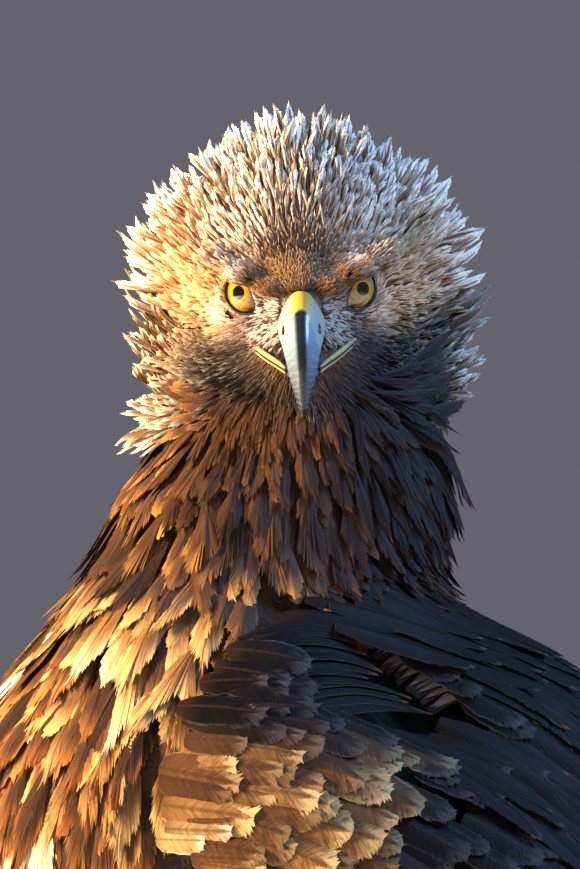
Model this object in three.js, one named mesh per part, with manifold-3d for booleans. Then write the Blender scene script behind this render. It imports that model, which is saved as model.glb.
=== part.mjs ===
// Golden eagle at life size, standing still and looking back over its left shoulder.
// Millimetres. The bird faces -Y, its left side is +X, up is +Z and the floor is at Z = 0.
import * as THREE from "three";
import { mergeVertices } from "three/addons/utils/BufferGeometryUtils.js";
import Module from "manifold-3d";

const wasm = await Module();
wasm.setup();

// Driving dimensions
const EYE_HEIGHT = 590; // floor to the line between the eyes
const EYE_SPACING = 35; // between the centres of the two eyeballs
const EYEBALL = 12.2; // radius
const EYE_TURN = 35; // degrees that each eye looks out from straight ahead
const HEAD_PITCH = 20; // degrees that the bill points down
const HEAD_ROLL = 2;
const HEAD_SHIFT = 36; // the eyes stand this far out from the neck's axis
const BILL_LENGTH = 57; // forehead to hook
const TAIL_LENGTH = 300;
const TARSUS_HEIGHT = 108;
const FOOT_SPREAD = 52; // each foot from the midline
const FOOT_BACK = 62; // feet behind the neck's axis
const GAP = 0.35; // between neighbouring nodes
const NECK_BASE = 455; // height of the cut between torso and neck
const NECK_TOP = 548; // height of the cut between neck and head

const DEG = Math.PI / 180;
const X = new THREE.Vector3(1, 0, 0);
const UP = new THREE.Vector3(0, 0, 1);
const vec = (x, y, z) => new THREE.Vector3(x, y, z);
const mix = THREE.MathUtils.lerp;
const clamp = THREE.MathUtils.clamp;
const smooth = THREE.MathUtils.smoothstep;

// The same pseudo-random numbers every run
function seeded(seed) {
  let s = seed;
  return () => {
    s = (s * 1664525 + 1013904223) % 4294967296;
    return s / 4294967296;
  };
}

// A smooth function through [position, value] pairs
function profile(pairs) {
  const curve = new THREE.SplineCurve(pairs.map(([x, y]) => new THREE.Vector2(x, y)));
  return (x) => {
    let i = 1;
    while (i < pairs.length - 1 && pairs[i][0] < x) i++;
    const [x0, x1] = [pairs[i - 1][0], pairs[i][0]];
    const share = clamp((x - x0) / (x1 - x0), 0, 1);
    return curve.getPoint((i - 1 + share) / (pairs.length - 1)).y;
  };
}

// Solids from geometries, and geometries from solids
function solid(geometry) {
  const bare = geometry.index ? geometry.toNonIndexed() : geometry;
  const only = new THREE.BufferGeometry().setAttribute("position", bare.getAttribute("position"));
  const merged = mergeVertices(only, 1e-4);
  return new wasm.Manifold(
    new wasm.Mesh({
      numProp: 3,
      vertProperties: new Float32Array(merged.attributes.position.array),
      triVerts: new Uint32Array(merged.index.array),
    }),
  );
}

const largest = (made) => made.decompose().reduce((a, b) => (a.volume() > b.volume() ? a : b));
const union = (solids) => wasm.Manifold.union(solids);

function geometryOf(made) {
  const mesh = largest(made).getMesh();
  return new THREE.BufferGeometry()
    .setAttribute("position", new THREE.BufferAttribute(new Float32Array(mesh.vertProperties), 3))
    .setIndex(new THREE.BufferAttribute(new Uint32Array(mesh.triVerts), 1));
}

function slab(low, high) {
  const size = high.clone().sub(low);
  const centre = low.clone().add(high).multiplyScalar(0.5);
  return solid(new THREE.BoxGeometry(size.x, size.y, size.z).translate(centre.x, centre.y, centre.z));
}
const below = (height) => slab(vec(-900, -900, -900), vec(900, 900, height));
const above = (height) => slab(vec(-900, -900, height), vec(900, 900, 1800));

// Head frame: x ahead to the bill, y to the bird's left, z up, with the point between the eyes at 0
const HEAD = new THREE.Matrix4()
  .makeTranslation(HEAD_SHIFT, 0, EYE_HEIGHT)
  .multiply(new THREE.Matrix4().makeRotationY(HEAD_PITCH * DEG))
  .multiply(new THREE.Matrix4().makeRotationX(HEAD_ROLL * DEG));
const TO_HEAD = HEAD.clone().invert();
const fromHead = (x, y, z) => vec(x, y, z).applyMatrix4(HEAD);
const onHead = (x, y, z) => vec(x, y, z).transformDirection(HEAD);

// A rounded mass: centre, radii along its own axes, and the slope of its long axis in the Y-Z plane
function blob(centre, radii, slope = 0, frame = null) {
  const turn = new THREE.Matrix4().makeRotationX(-slope * DEG);
  const place = new THREE.Matrix4().makeTranslation(...centre).multiply(turn);
  const inverse = (frame ? frame.clone().multiply(place) : place).invert();
  const [a, b, c] = radii;
  return (p) => {
    const q = p.clone().applyMatrix4(inverse);
    const near = Math.hypot(q.x / a, q.y / b, q.z / c);
    const slope2 = Math.hypot(q.x / (a * a), q.y / (b * b), q.z / (c * c));
    return near < 1e-6 ? -Math.min(a, b, c) : (near * (near - 1)) / slope2;
  };
}

// Smooth union of masses: below 0 inside, above 0 outside
function blended(masses, blend) {
  return (p) => {
    let sum = 0;
    for (const mass of masses) sum += Math.exp(-mass(p) / blend);
    return -blend * Math.log(sum);
  };
}

// How far a ray from an inner point runs to the outermost surface of a field
function reach(field, from, direction, limit) {
  const at = (r) => field(from.clone().addScaledVector(direction, r));
  let outer = limit;
  const step = 4;
  while (outer > step && at(outer) > 0) outer -= step;
  let [low, high] = [outer, Math.min(outer + step, limit)];
  for (let i = 0; i < 12; i++) {
    const middle = (low + high) / 2;
    if (at(middle) > 0) high = middle;
    else low = middle;
  }
  return (low + high) / 2;
}

// The way in which a field rises fastest, out of its surface
function outwardOf(field, p) {
  const slope = [vec(1, 0, 0), vec(0, 1, 0), vec(0, 0, 1)].map((axis) => {
    const ahead = field(p.clone().add(axis));
    return ahead - field(p.clone().sub(axis));
  });
  return vec(...slope).normalize();
}

// The masses of the body, of the neck, of the head, and of the tail that the folded wings lie on
const torsoMasses = [
  blob([0, -46, 345], [98, 112, 96], 60),
  blob([0, 52, 308], [96, 156, 96], 30),
  blob([0, 36, 240], [90, 90, 70], 8),
  blob([0, 190, 248], [54, 82, 42], 33),
  blob([0, -24, 422], [84, 84, 74]),
  blob([0, 72, 393], [66, 80, 46], 30),
];
const neckMass = blob([0, -9, 500], [54, 92, 66], -76);
const headMasses = [
  blob([-31, 0, -3], [39, 47, 45], 0, HEAD),
  blob([2, 0, -2], [22, 16, 18], 0, HEAD),
  blob([4, 0, -15], [18, 20, 7], 0, HEAD),
  blob([-8, 0, -22], [22, 21, 13], 0, HEAD),
];
const tailCone = blob([0, 266, 192], [42, 200, 26], 33);
const torsoField = blended([...torsoMasses, neckMass], 12);
const headField = blended(headMasses, 4);
const bodyField = blended([torsoField, headField], 9);
const wingField = blended([...torsoMasses, tailCone], 12);

// A closed skin over a field, as seen from an inner point; pole is the ring axis, and the rings
// crowd towards it where crowd is over 1
function skin(field, centre, pole, around, along, limit, grow, crowd = 1) {
  const geometry = new THREE.SphereGeometry(1, around, along);
  const turn = new THREE.Quaternion().setFromUnitVectors(vec(0, 1, 0), pole);
  const at = geometry.getAttribute("position");
  for (let i = 0; i < at.count; i++) {
    const ring = Math.acos(clamp(at.getY(i), -1, 1)) / Math.PI;
    const polar = Math.PI * ring ** crowd;
    const spin = Math.atan2(at.getZ(i), at.getX(i));
    const flat = ring < 1e-6 || ring > 1 - 1e-6 ? 0 : Math.sin(polar);
    const direction = vec(flat * Math.cos(spin), Math.cos(polar), flat * Math.sin(spin));
    direction.applyQuaternion(turn).normalize();
    const radius = reach(field, centre, direction, limit) + grow;
    at.setXYZ(i, ...centre.clone().addScaledVector(direction, radius).toArray());
  }
  return solid(geometry);
}

// A closed tube round a curve: shape(s, angle) gives the radius at share s of the length
function tube(curve, shape, around, along, across = X) {
  const geometry = new THREE.CylinderGeometry(1, 1, 1, around, along, false);
  const at = geometry.getAttribute("position");
  const centre = new THREE.Vector3();
  const tangent = new THREE.Vector3();
  for (let i = 0; i < at.count; i++) {
    const share = clamp(0.5 - at.getY(i), 0, 1);
    curve.getPoint(share, centre);
    curve.getTangent(share, tangent);
    const up = tangent.clone().cross(across).normalize();
    const side = up.clone().cross(tangent).normalize();
    const onRim = Math.hypot(at.getX(i), at.getZ(i)) > 0.5;
    const angle = Math.atan2(at.getZ(i), at.getX(i));
    const [w, h] = onRim ? shape(share, angle) : [0, 0];
    const point = centre.clone();
    point.addScaledVector(side, w * Math.cos(angle));
    point.addScaledVector(up, h * Math.sin(angle));
    at.setXYZ(i, ...point.toArray());
  }
  return solid(geometry);
}

// A flat tapered blade, such as a feather: each station has a place, a width direction and a normal
function blade(stations) {
  const points = [];
  for (const { at, side, normal, half, thick } of stations)
    for (const [a, b] of [[-1, -1], [1, -1], [1, 1], [-1, 1]]) {
      const corner = at.clone().addScaledVector(side, a * half);
      points.push(...corner.addScaledVector(normal, (b * thick) / 2).toArray());
    }
  const faces = [0, 1, 2, 0, 2, 3];
  const last = 4 * (stations.length - 1);
  for (let s = 0; s < last; s += 4)
    for (let k = 0; k < 4; k++) {
      const [a, b] = [s + k, s + ((k + 1) % 4)];
      // The lower face (k = 0) and the upper one (k = 2) are split along the same diagonal.
      if (k === 0) faces.push(a, a + 4, b + 4, a, b + 4, b);
      else faces.push(a, a + 4, b, b, a + 4, b + 4);
    }
  faces.push(last, last + 2, last + 1, last, last + 3, last + 2);
  const geometry = new THREE.BufferGeometry()
    .setAttribute("position", new THREE.Float32BufferAttribute(points, 3))
    .setIndex(faces);
  return solid(geometry);
}

// A pointed lock, such as a hackle: flat below, ridged above, and drawn to one point
function lock(stations) {
  const points = [];
  for (const { at, side, normal, half, thick } of stations.slice(0, -1))
    for (const [a, b] of [[-1, 0], [1, 0], [0, 1]]) {
      const corner = at.clone().addScaledVector(side, a * half);
      points.push(...corner.addScaledVector(normal, b * thick).toArray());
    }
  const tip = 3 * (stations.length - 1);
  points.push(...stations.at(-1).at.toArray());
  const faces = [0, 1, 2];
  for (let s = 0; s < tip; s += 3)
    for (let k = 0; k < 3; k++) {
      const [a, b] = [s + k, s + ((k + 1) % 3)];
      if (s + 3 === tip) faces.push(a, tip, b);
      else faces.push(a, a + 3, b, b, a + 3, b + 3);
    }
  const geometry = new THREE.BufferGeometry()
    .setAttribute("position", new THREE.Float32BufferAttribute(points, 3))
    .setIndex(faces);
  return solid(geometry);
}

// Stations of a blade along a path of points with outward normals
function stationsOn(path, halfAt, thickAt, roll, grow) {
  return path.map(({ at, normal }, i) => {
    const ahead = path[Math.min(i + 1, path.length - 1)].at;
    const behind = path[Math.max(i - 1, 0)].at;
    const tangent = ahead.clone().sub(behind).normalize();
    const side = tangent.clone().cross(normal).normalize().applyAxisAngle(tangent, roll);
    const share = i / (path.length - 1);
    const half = halfAt(share) + grow;
    const thick = thickAt(share) + 2 * grow;
    return { at, side, normal: side.clone().cross(tangent).normalize(), half, thick };
  });
}

// Eyes
const EYES = [1, -1].map((side) => ({
  side,
  name: side > 0 ? "left" : "right",
  centre: vec(0, (side * EYE_SPACING) / 2, 0),
  look: vec(Math.cos(EYE_TURN * DEG), side * Math.sin(EYE_TURN * DEG), 0.02).normalize(),
}));

// The front of the eyeball, flat at the back
function eyeball(eye, grow = 0) {
  const radius = EYEBALL + grow;
  const back = -4 - grow;
  const onBall = (rise) => new THREE.Vector2(radius * Math.cos(rise * DEG), radius * Math.sin(rise * DEG));
  const front = [14, 38, 62, 88].map(onBall);
  front[3].x = 0;
  const outline = [new THREE.Vector2(0, back), new THREE.Vector2(0.93 * radius, back), ...front];
  const lens = new THREE.LatheGeometry(outline, 14);
  lens.applyQuaternion(new THREE.Quaternion().setFromUnitVectors(vec(0, 1, 0), eye.look));
  return solid(lens.translate(...eye.centre.toArray()).applyMatrix4(HEAD));
}

function lidRing(eye) {
  const at = eye.centre.clone().addScaledVector(eye.look, EYEBALL * 0.74);
  const turn = new THREE.Quaternion().setFromUnitVectors(UP, eye.look);
  const ring = new THREE.TorusGeometry(9.6, 1.7, 4, 14).applyQuaternion(turn);
  return solid(ring.translate(...at.toArray()).applyMatrix4(HEAD));
}

function browRidge(side) {
  const curve = new THREE.CatmullRomCurve3([
    fromHead(21, side * 9, 1),
    fromHead(16, side * 18, 5.6),
    fromHead(4.5, side * 29, 9.8),
    fromHead(-13, side * 36.5, 13),
  ]);
  return tube(curve, (s) => [5 * Math.sin(Math.PI * mix(0.25, 0.9, s)), 3.6], 6, 5, UP);
}

// Bill: the upper one, from the cere to the hook, with the flange of the gape, and the lower one
const UPPER_KNOTS = [
  [13, -4.6],
  [22, -4.3],
  [32, -5.4],
  [41.5, -11.8],
  [47.3, -21.5],
  [49.6, -30],
  [50.3, -37.2],
];
const alongBill = ([x, z]) => fromHead((x * BILL_LENGTH) / 57, 0, z);
const upperLine = new THREE.CatmullRomCurve3(UPPER_KNOTS.map(alongBill));
const UPPER_SHARES = [0, 0.3, 0.42, 0.6, 0.78, 0.9, 1];
const upperProfile = (sizes) => profile(UPPER_SHARES.map((share, i) => [share, sizes[i]]));
const upperWidth = upperProfile([11.6, 10.4, 9.2, 7.2, 4.9, 2.8, 0.5]);
const upperDepth = upperProfile([12.9, 12.3, 10.9, 8.4, 5.4, 3.1, 0.6]);
const HEAD_SIDE = onHead(0, 1, 0);

function upperBill(grow = 0) {
  const section = (s, angle) => {
    const ridge = 1 - 0.14 * Math.abs(Math.cos(angle)) * smooth(Math.sin(angle), 0, 1);
    return [upperWidth(s) * ridge + grow, upperDepth(s) + grow];
  };
  const horn = tube(upperLine, section, 10, 11, HEAD_SIDE);
  const flanges = [1, -1].map((side) => gape(side, -18.2, 1.7 + grow));
  let made = union([horn, ...flanges]);
  if (grow) return made;
  for (const side of [1, -1]) {
    const nostril = new THREE.SphereGeometry(1, 6, 4).scale(2.6, 2, 1.5).rotateY(-35 * DEG);
    made = made.subtract(solid(nostril.translate(29.5, side * 10.6, -3).applyMatrix4(HEAD)));
  }
  return made;
}

function gape(side, height, radius) {
  const curve = new THREE.CatmullRomCurve3([
    fromHead(3, side * 24.4, height - 0.8),
    fromHead(12, side * 19.4, height - 0.3),
    fromHead(22, side * 12.8, height + 0.8),
    fromHead(34, side * 6, height + 2.4),
  ]);
  return tube(curve, (s) => [radius * (1 + 0.6 * s), radius * (1 + 0.5 * s)], 5, 3, UP);
}

function lowerBill(grow = 0) {
  const line = new THREE.CatmullRomCurve3(
    [[6, -24.5], [20, -24], [33, -23.4], [42.4, -22.6]].map(([x, z]) => fromHead(x, 0, z)),
  );
  const width = profile([[0, 12], [0.4, 9.6], [0.8, 6.2], [1, 2.5]]);
  const jaw = tube(line, (s) => [width(s) + grow, mix(5.2, 2.6, s) + grow], 8, 4, HEAD_SIDE);
  return union([jaw, ...[1, -1].map((side) => gape(side, -22.4, 1.5 + grow))]);
}

// Hackles: lance-shaped feathers raised on the crown, the cheeks and the neck
function hackle(root, along, normal, length, width, bend, sink, grow, steps = 3) {
  const path = [];
  const at = root.clone().addScaledVector(along, -sink);
  for (let i = 0; i <= steps; i++) {
    path.push({ at: at.clone(), normal });
    const turned = along.clone().applyAxisAngle(along.clone().cross(normal).normalize(), -bend * i);
    at.addScaledVector(turned, (length + sink) / steps);
  }
  const halfAt = (s) => (width / 2) * (s < 0.2 ? 0.6 : s < 0.6 ? 1 : 0.75);
  const thickAt = (s) => mix(2.2, 0.9, s);
  return lock(stationsOn(path, halfAt, thickAt, 0, grow));
}

const HACKLE_RINGS = 5;

function headHackles(grow) {
  const random = seeded(7);
  const made = [];
  const centre = fromHead(-26, 0, 0);
  for (let ring = 0; ring < HACKLE_RINGS; ring++) {
    const share = ring / (HACKLE_RINGS - 1);
    const fromBill = mix(60, 136, share) * DEG;
    const count = Math.round(mix(10, 13, Math.sin(Math.PI * share)));
    for (let i = 0; i < count; i++) {
      const w = ((i + (ring % 2) / 2 + 0.3 * (random() - 0.5)) / count) * 2 * Math.PI;
      const [ahead, aside] = [Math.cos(fromBill), Math.sin(fromBill)];
      const outward = onHead(ahead, aside * Math.sin(w), aside * Math.cos(w));
      const back = onHead(-aside, ahead * Math.sin(w), ahead * Math.cos(w));
      const root = centre.clone().addScaledVector(outward, reach(bodyField, centre, outward, 78));
      if (root.z < NECK_TOP + 9) continue;
      const raised = mix(26, 60, Math.sin(Math.PI * clamp(share * 1.1, 0, 1))) * DEG;
      const along = back.clone().multiplyScalar(Math.cos(raised)).addScaledVector(outward, Math.sin(raised));
      along.addScaledVector(outward.clone().cross(back), 0.5 * (random() - 0.5)).normalize();
      const normal = outward.clone().addScaledVector(back, -0.6).normalize();
      const length = mix(19, 36, smooth(share, 0, 0.4)) * (0.88 + 0.24 * random());
      made.push(hackle(root, along, normal, length, 21, 0.16 * random() + 0.04, 4, grow, 2));
    }
  }
  return made;
}

function neckHackles(grow) {
  const random = seeded(19);
  const made = [];
  const rows = 4;
  const count = 9;
  for (let row = 0; row < rows; row++) {
    const height = mix(NECK_BASE + 24, NECK_TOP - 10, row / (rows - 1));
    const centre = vec(0, mix(-18, 0, (height - NECK_BASE) / (NECK_TOP - NECK_BASE)), height);
    for (let i = 0; i < count; i++) {
      const w = ((i + (row % 2) / 2 + 0.3 * (random() - 0.5)) / count) * 2 * Math.PI;
      const outward = vec(Math.sin(w), Math.cos(w), 0);
      const root = centre.clone().addScaledVector(outward, reach(bodyField, centre, outward, 110));
      const nape = smooth(outward.y, -0.4, 0.7);
      const raised = mix(10, 30, nape) * DEG;
      const along = vec(0, -0.35 * (1 - nape), -1).normalize();
      along.multiplyScalar(Math.cos(raised)).addScaledVector(outward, Math.sin(raised));
      along.addScaledVector(outward.clone().cross(along), 0.3 * (random() - 0.5)).normalize();
      const length = mix(36, 44, nape) * (0.88 + 0.24 * random());
      made.push(hackle(root, along, outward, length, 31, -0.08, 4, grow, 2));
    }
  }
  return made;
}

// Body nodes
const torsoCentre = vec(0, 30, 330);

function torso(grow = 0) {
  const body = skin(torsoField, torsoCentre, vec(0, 0.85, -0.53), 24, 18, 260, grow);
  return body.subtract(above(NECK_BASE - GAP + grow));
}

function neck(grow = 0) {
  const core = skin(bodyField, vec(0, -6, 500), UP, 20, 16, 130, grow);
  const trimmed = core.subtract(below(NECK_BASE)).subtract(above(NECK_TOP - GAP + grow));
  return largest(union([trimmed, ...neckHackles(grow)]));
}

function head(grow = 0) {
  const core = skin(bodyField, fromHead(-20, 0, 0), onHead(1, 0, 0), 22, 16, 84, grow, 1.4);
  const trimmed = core.subtract(below(NECK_TOP - grow));
  const face = union([trimmed, ...[1, -1].map(browRidge), ...EYES.map(lidRing)]);
  return largest(union([face, ...headHackles(grow)]));
}

// Wing surface: along the folded wing from the shoulder (0) to the tip (1), and round the body in degrees
const WING_FROM = vec(0, -80, 400);
const WING_TO = vec(0, 470, 68);
const WING_AXIS = WING_TO.clone().sub(WING_FROM).normalize();
const WING_UP = X.clone().cross(WING_AXIS).normalize();

function wingPoint(side, along, turn, lift) {
  const centre = WING_FROM.clone().lerp(WING_TO, along);
  const way = WING_UP.clone().multiplyScalar(Math.cos(turn * DEG));
  way.addScaledVector(X, side * Math.sin(turn * DEG));
  const radius = Math.max(reach(wingField, centre, way, 190), 13);
  const at = centre.addScaledVector(way, radius);
  const normal = outwardOf(wingField, at);
  return { at: at.addScaledVector(normal, lift), normal };
}

// A vane from one place on the wing to another
function wingVane(side, from, to, bow, width, roll, steps, grow) {
  const path = [];
  for (let i = 0; i <= steps; i++) {
    const s = i / steps;
    const turn = mix(from.turn, to.turn, s) + bow * Math.sin(Math.PI * s);
    path.push(wingPoint(side, mix(from.along, to.along, s), turn, mix(from.lift, to.lift, s ** 0.6)));
  }
  const halfAt = (s) => (width / 2) * (s > 0.99 ? 0.36 : mix(0.55, 1, smooth(s, 0, 0.45)));
  return blade(stationsOn(path, halfAt, () => 1.1, side * roll * DEG, grow));
}

// The arm of the wing under its feathers
const armLow = profile([[0.05, 92], [0.16, 100], [0.3, 98], [0.44, 90]]);
const armHigh = profile([[0.05, 38], [0.16, 14], [0.3, 10], [0.44, 12]]);
const armThick = profile([[0.05, 7], [0.12, 14], [0.25, 13], [0.36, 8], [0.44, 3]]);

function wingArm(side, grow) {
  const [rows, columns, inner] = [7, 6, -10];
  const geometry = new THREE.BoxGeometry(1, 1, 1, columns, rows, 1);
  const at = geometry.getAttribute("position");
  for (let i = 0; i < at.count; i++) {
    const s = at.getX(i) + 0.5;
    const across = at.getY(i) + 0.5;
    const along = mix(0.05, 0.44, s) + 0.035 * (1 - s) * (2 * across - 1) ** 2;
    const turn = mix(armHigh(along), armLow(along), across);
    const edge = Math.min(1, 2.4 * Math.sqrt(Math.max(0, across * (1 - across))));
    const lift = at.getZ(i) > 0 ? armThick(along) * edge + 1.2 + grow : inner;
    at.setXYZ(i, ...wingPoint(side, along, turn, lift).at.toArray());
  }
  if (side > 0) geometry.index.array.reverse();
  return solid(geometry);
}

// Tiers of vanes, from the secondaries up to the scapulars. Roots and tips are [along, turn, lift] of
// the first vane, the lowest on the bird, and of the last.
const tier = (count, root, tip, width, roll, steps) => ({ count, root, tip, width, roll, steps });
const WING_TIERS = [
  tier(6, [[0.33, 91, 5], [0.41, 17, 2]], [[0.5, 95, 8], [0.74, 11, 9]], 35, 11, 3),
  tier(5, [[0.2, 91, 8], [0.32, 26, 6]], [[0.37, 93, 13], [0.54, 21, 13]], 43, 8, 2),
  tier(5, [[0.1, 89, 9], [0.18, 36, 9]], [[0.23, 92, 16], [0.36, 32, 17]], 38, 8, 2),
  tier(5, [[0.08, 56, 5], [0.16, 14, 7]], [[0.24, 48, 20], [0.42, 7, 18]], 34, 8, 3),
];

function wingVanes(side, grow) {
  const random = seeded(31);
  const made = [];
  for (const { count, root, tip, width, roll, steps } of WING_TIERS)
    for (let i = 0; i < count; i++) {
      const place = (ends, jitter) => {
        const [along, turn, lift] = ends[0].map((first, k) => mix(first, ends[1][k], i / (count - 1)));
        return { along: along + jitter, turn, lift };
      };
      const end = place(tip, 0.012 * (random() - 0.5));
      made.push(wingVane(side, place(root, 0), end, 2.5, width, roll, steps, grow));
    }
  return made;
}

// The long primaries lie flat on each other, the inner ones on top, and reach back to the wing tip
const PRIMARIES = 5;

function primaries(side, grow) {
  const made = [];
  const steps = 3;
  const across = WING_UP.clone().multiplyScalar(0.82).addScaledVector(X, -0.57 * side);
  const normal = WING_UP.clone().multiplyScalar(0.57).addScaledVector(X, 0.82 * side);
  for (let i = 0; i < PRIMARIES; i++) {
    const share = i / (PRIMARIES - 1);
    const root = wingPoint(side, 0.4, 84, 1).at.addScaledVector(across, 9 * i);
    const tip = wingPoint(side, mix(0.8, 0.97, share), 64, 2).at.addScaledVector(across, 2.2 * i);
    const path = [];
    for (let k = 0; k <= steps; k++) {
      const at = root.clone().lerp(tip, k / steps);
      at.addScaledVector(normal, 1.7 * i + 5 * Math.sin((Math.PI * k) / steps));
      path.push({ at, normal });
    }
    const halfAt = (s) => (s > 0.99 ? 4 : mix(9, 12.5, s));
    made.push(blade(stationsOn(path, halfAt, () => 1.1, 0, grow)));
  }
  return made;
}

function wing(side, grow = 0) {
  const made = union([wingArm(side, grow), ...wingVanes(side, grow), ...primaries(side, grow)]);
  const across = slab(vec(-900, -900, -900), vec(GAP / 2 - grow, 900, 1800)); // beyond the bird's midline
  return side > 0 ? made.subtract(across) : made.subtract(across.mirror([1, 0, 0]));
}

// Tail: a narrow fan of vanes, the middle ones on top, under a cone of coverts
const TAIL_ROOT = vec(0, 222, 233);
const TAIL_SLOPE = 32;
const TAIL_VANES = 12;
const TAIL_STEPS = 3;

function tailPoint(distance, out, lift) {
  const slope = (TAIL_SLOPE + 0.006 * distance) * DEG;
  const ahead = vec(0, Math.cos(slope), -Math.sin(slope));
  const normal = vec(0, Math.sin(slope), Math.cos(slope));
  const at = TAIL_ROOT.clone().addScaledVector(ahead, distance).addScaledVector(X, out);
  return { at: at.addScaledVector(normal, lift - 0.0022 * out * out), normal };
}

function tail(grow = 0) {
  const vanes = [];
  for (let i = 0; i < TAIL_VANES; i++) {
    const side = i % 2 ? -1 : 1;
    const order = Math.floor(i / 2); // 0 is the middle pair
    const path = [];
    for (let k = 0; k <= TAIL_STEPS; k++) {
      const run = (k / TAIL_STEPS) * (TAIL_LENGTH - 3 * order);
      path.push(tailPoint(run, side * (order + 0.4) * (2.6 + 0.016 * run), -1.3 * i));
    }
    const halfAt = (s) => (s > 0.99 ? 12 : mix(9, 23, s ** 0.6));
    vanes.push(blade(stationsOn(path, halfAt, () => 0.95, 0, grow)));
  }
  const middle = (distance) => tailPoint(distance, 0, -7.5).at;
  const line = new THREE.CatmullRomCurve3([-26, 20, 66].map(middle));
  const size = (s) => [mix(48, 38, s) + grow, mix(30, 11, s ** 0.8) + grow];
  return union([tube(line, size, 12, 3, X), ...vanes]);
}

// Legs
function thigh(side, grow = 0) {
  const curve = new THREE.CatmullRomCurve3([
    vec(side * 50, 10, 252),
    vec(side * 54, 30, 208),
    vec(side * 54, 52, 162),
    vec(side * 53, 67, 124),
    vec(side * FOOT_SPREAD, 72, 94),
  ]);
  const wide = profile([[0, 28], [0.3, 39], [0.6, 37], [0.85, 29], [1, 21]]);
  const deep = profile([[0, 36], [0.3, 61], [0.6, 54], [0.85, 40], [1, 26]]);
  const core = tube(curve, (s) => [wide(s) + grow, deep(s) + grow], 10, 6, X);
  return union([core, ...trouserLocks(side, grow)]);
}

function trouserLocks(side, grow) {
  const made = [];
  const count = 5;
  for (let i = 0; i < 2 * count; i++) {
    const row = i < count ? 0 : 1;
    const w = ((i + row / 2) / count) * 2 * Math.PI;
    const outward = vec(Math.sin(w), Math.cos(w), 0);
    const root = vec(side * (FOOT_SPREAD + row), 70 - 9 * row, 106 + 32 * row);
    root.x += outward.x * (21 + 8 * row);
    root.y += outward.y * (27 + 13 * row);
    const along = outward.clone().multiplyScalar(0.1).addScaledVector(UP, -1).normalize();
    made.push(hackle(root, along, outward, 46, 38, 0.08, 5, grow, 2));
  }
  return made;
}

const ANKLE = (side) => vec(side * FOOT_SPREAD, 78, TARSUS_HEIGHT);
const SOLE = (side) => vec(side * FOOT_SPREAD, FOOT_BACK, 16);

function tarsus(side, grow = 0) {
  const curve = new THREE.CatmullRomCurve3([
    ANKLE(side).add(vec(0, 0, 6)),
    vec(side * FOOT_SPREAD, 74, 70),
    vec(side * FOOT_SPREAD, 66, 36),
    SOLE(side).add(vec(0, -1, 5)),
  ]);
  return tube(curve, (s) => [mix(16, 13, s) + grow, mix(19, 15, s) + grow], 10, 4, X);
}

// Toes: heading from straight ahead, length, radius, and the claw's length
const TOES = [
  { name: "inner", heading: 38, length: 46, radius: 8.6, claw: 40 },
  { name: "middle", heading: 2, length: 66, radius: 8, claw: 34 },
  { name: "outer", heading: -36, length: 50, radius: 7.4, claw: 27 },
  { name: "hind", heading: 172, length: 34, radius: 9, claw: 44 },
];

function toeWay(side, toe) {
  const heading = -side * toe.heading * DEG;
  return vec(Math.sin(heading), -Math.cos(heading), 0);
}

function toeLine(side, toe) {
  const way = toeWay(side, toe);
  const at = (run, height) => SOLE(side).addScaledVector(way, run * toe.length).setZ(height);
  const low = toe.radius * 0.84; // the pads are pressed flat by the floor
  return new THREE.CatmullRomCurve3([at(0.04, 15), at(0.36, low + 3.5), at(0.68, low), at(1, low)]);
}

function foot(side, grow = 0) {
  const toes = TOES.map((toe) => {
    const knuckles = (s) => 1 + 0.08 * Math.cos(s * Math.PI * 6);
    const round = (s) => Math.sqrt(clamp((1.02 - s) * 7, 0, 1));
    const size = (s) => toe.radius * knuckles(s) * round(s) * mix(1.08, 0.94, s) + grow;
    return tube(toeLine(side, toe), (s) => [size(s), size(s)], 7, 6, UP);
  });
  const palm = new THREE.SphereGeometry(1, 8, 5).scale(15 + grow, 17 + grow, 13 + grow);
  const made = union([...toes, solid(palm.translate(...SOLE(side).toArray()))]);
  return made.subtract(below(-grow));
}

function claw(side, toe, grow = 0) {
  const way = toeWay(side, toe);
  const from = SOLE(side).addScaledVector(way, toe.length - 5.5).setZ(9.5);
  const at = (run, height) => from.clone().addScaledVector(way, run * toe.claw).setZ(height);
  const knots = [at(0, 9.5), at(0.3, 12.5), at(0.58, 11.5), at(0.78, 7), at(0.86, 1.6)];
  const curve = new THREE.CatmullRomCurve3(knots);
  const base = toe.radius * 0.62;
  const taper = (s) => base * (1 - s ** 1.4) + 0.5 + grow;
  return tube(curve, (s) => [taper(s) * 0.86, taper(s)], 5, 5, UP);
}

// Materials, by part of the bird
const finish = (color, roughness) => new THREE.MeshStandardMaterial({ color, roughness, metalness: 0 });
const COAT = finish(0x5a4030, 0.85);
const HACKLE = finish(0xb08a5c, 0.85);
const FLIGHT = finish(0x3b302a, 0.7);
const SHANK = finish(0x8a6b48, 0.9);
const CERE = finish(0xd9c04a, 0.5);
const HORN = finish(0x3d4a58, 0.35);
const TALON = finish(0x17171a, 0.25);
const IRIS = finish(0xc98f1e, 0.05);

const eagle = new THREE.Group();

function add(name, made, material) {
  const mesh = new THREE.Mesh(geometryOf(made), material.clone());
  mesh.name = name;
  eagle.add(mesh);
}

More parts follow.
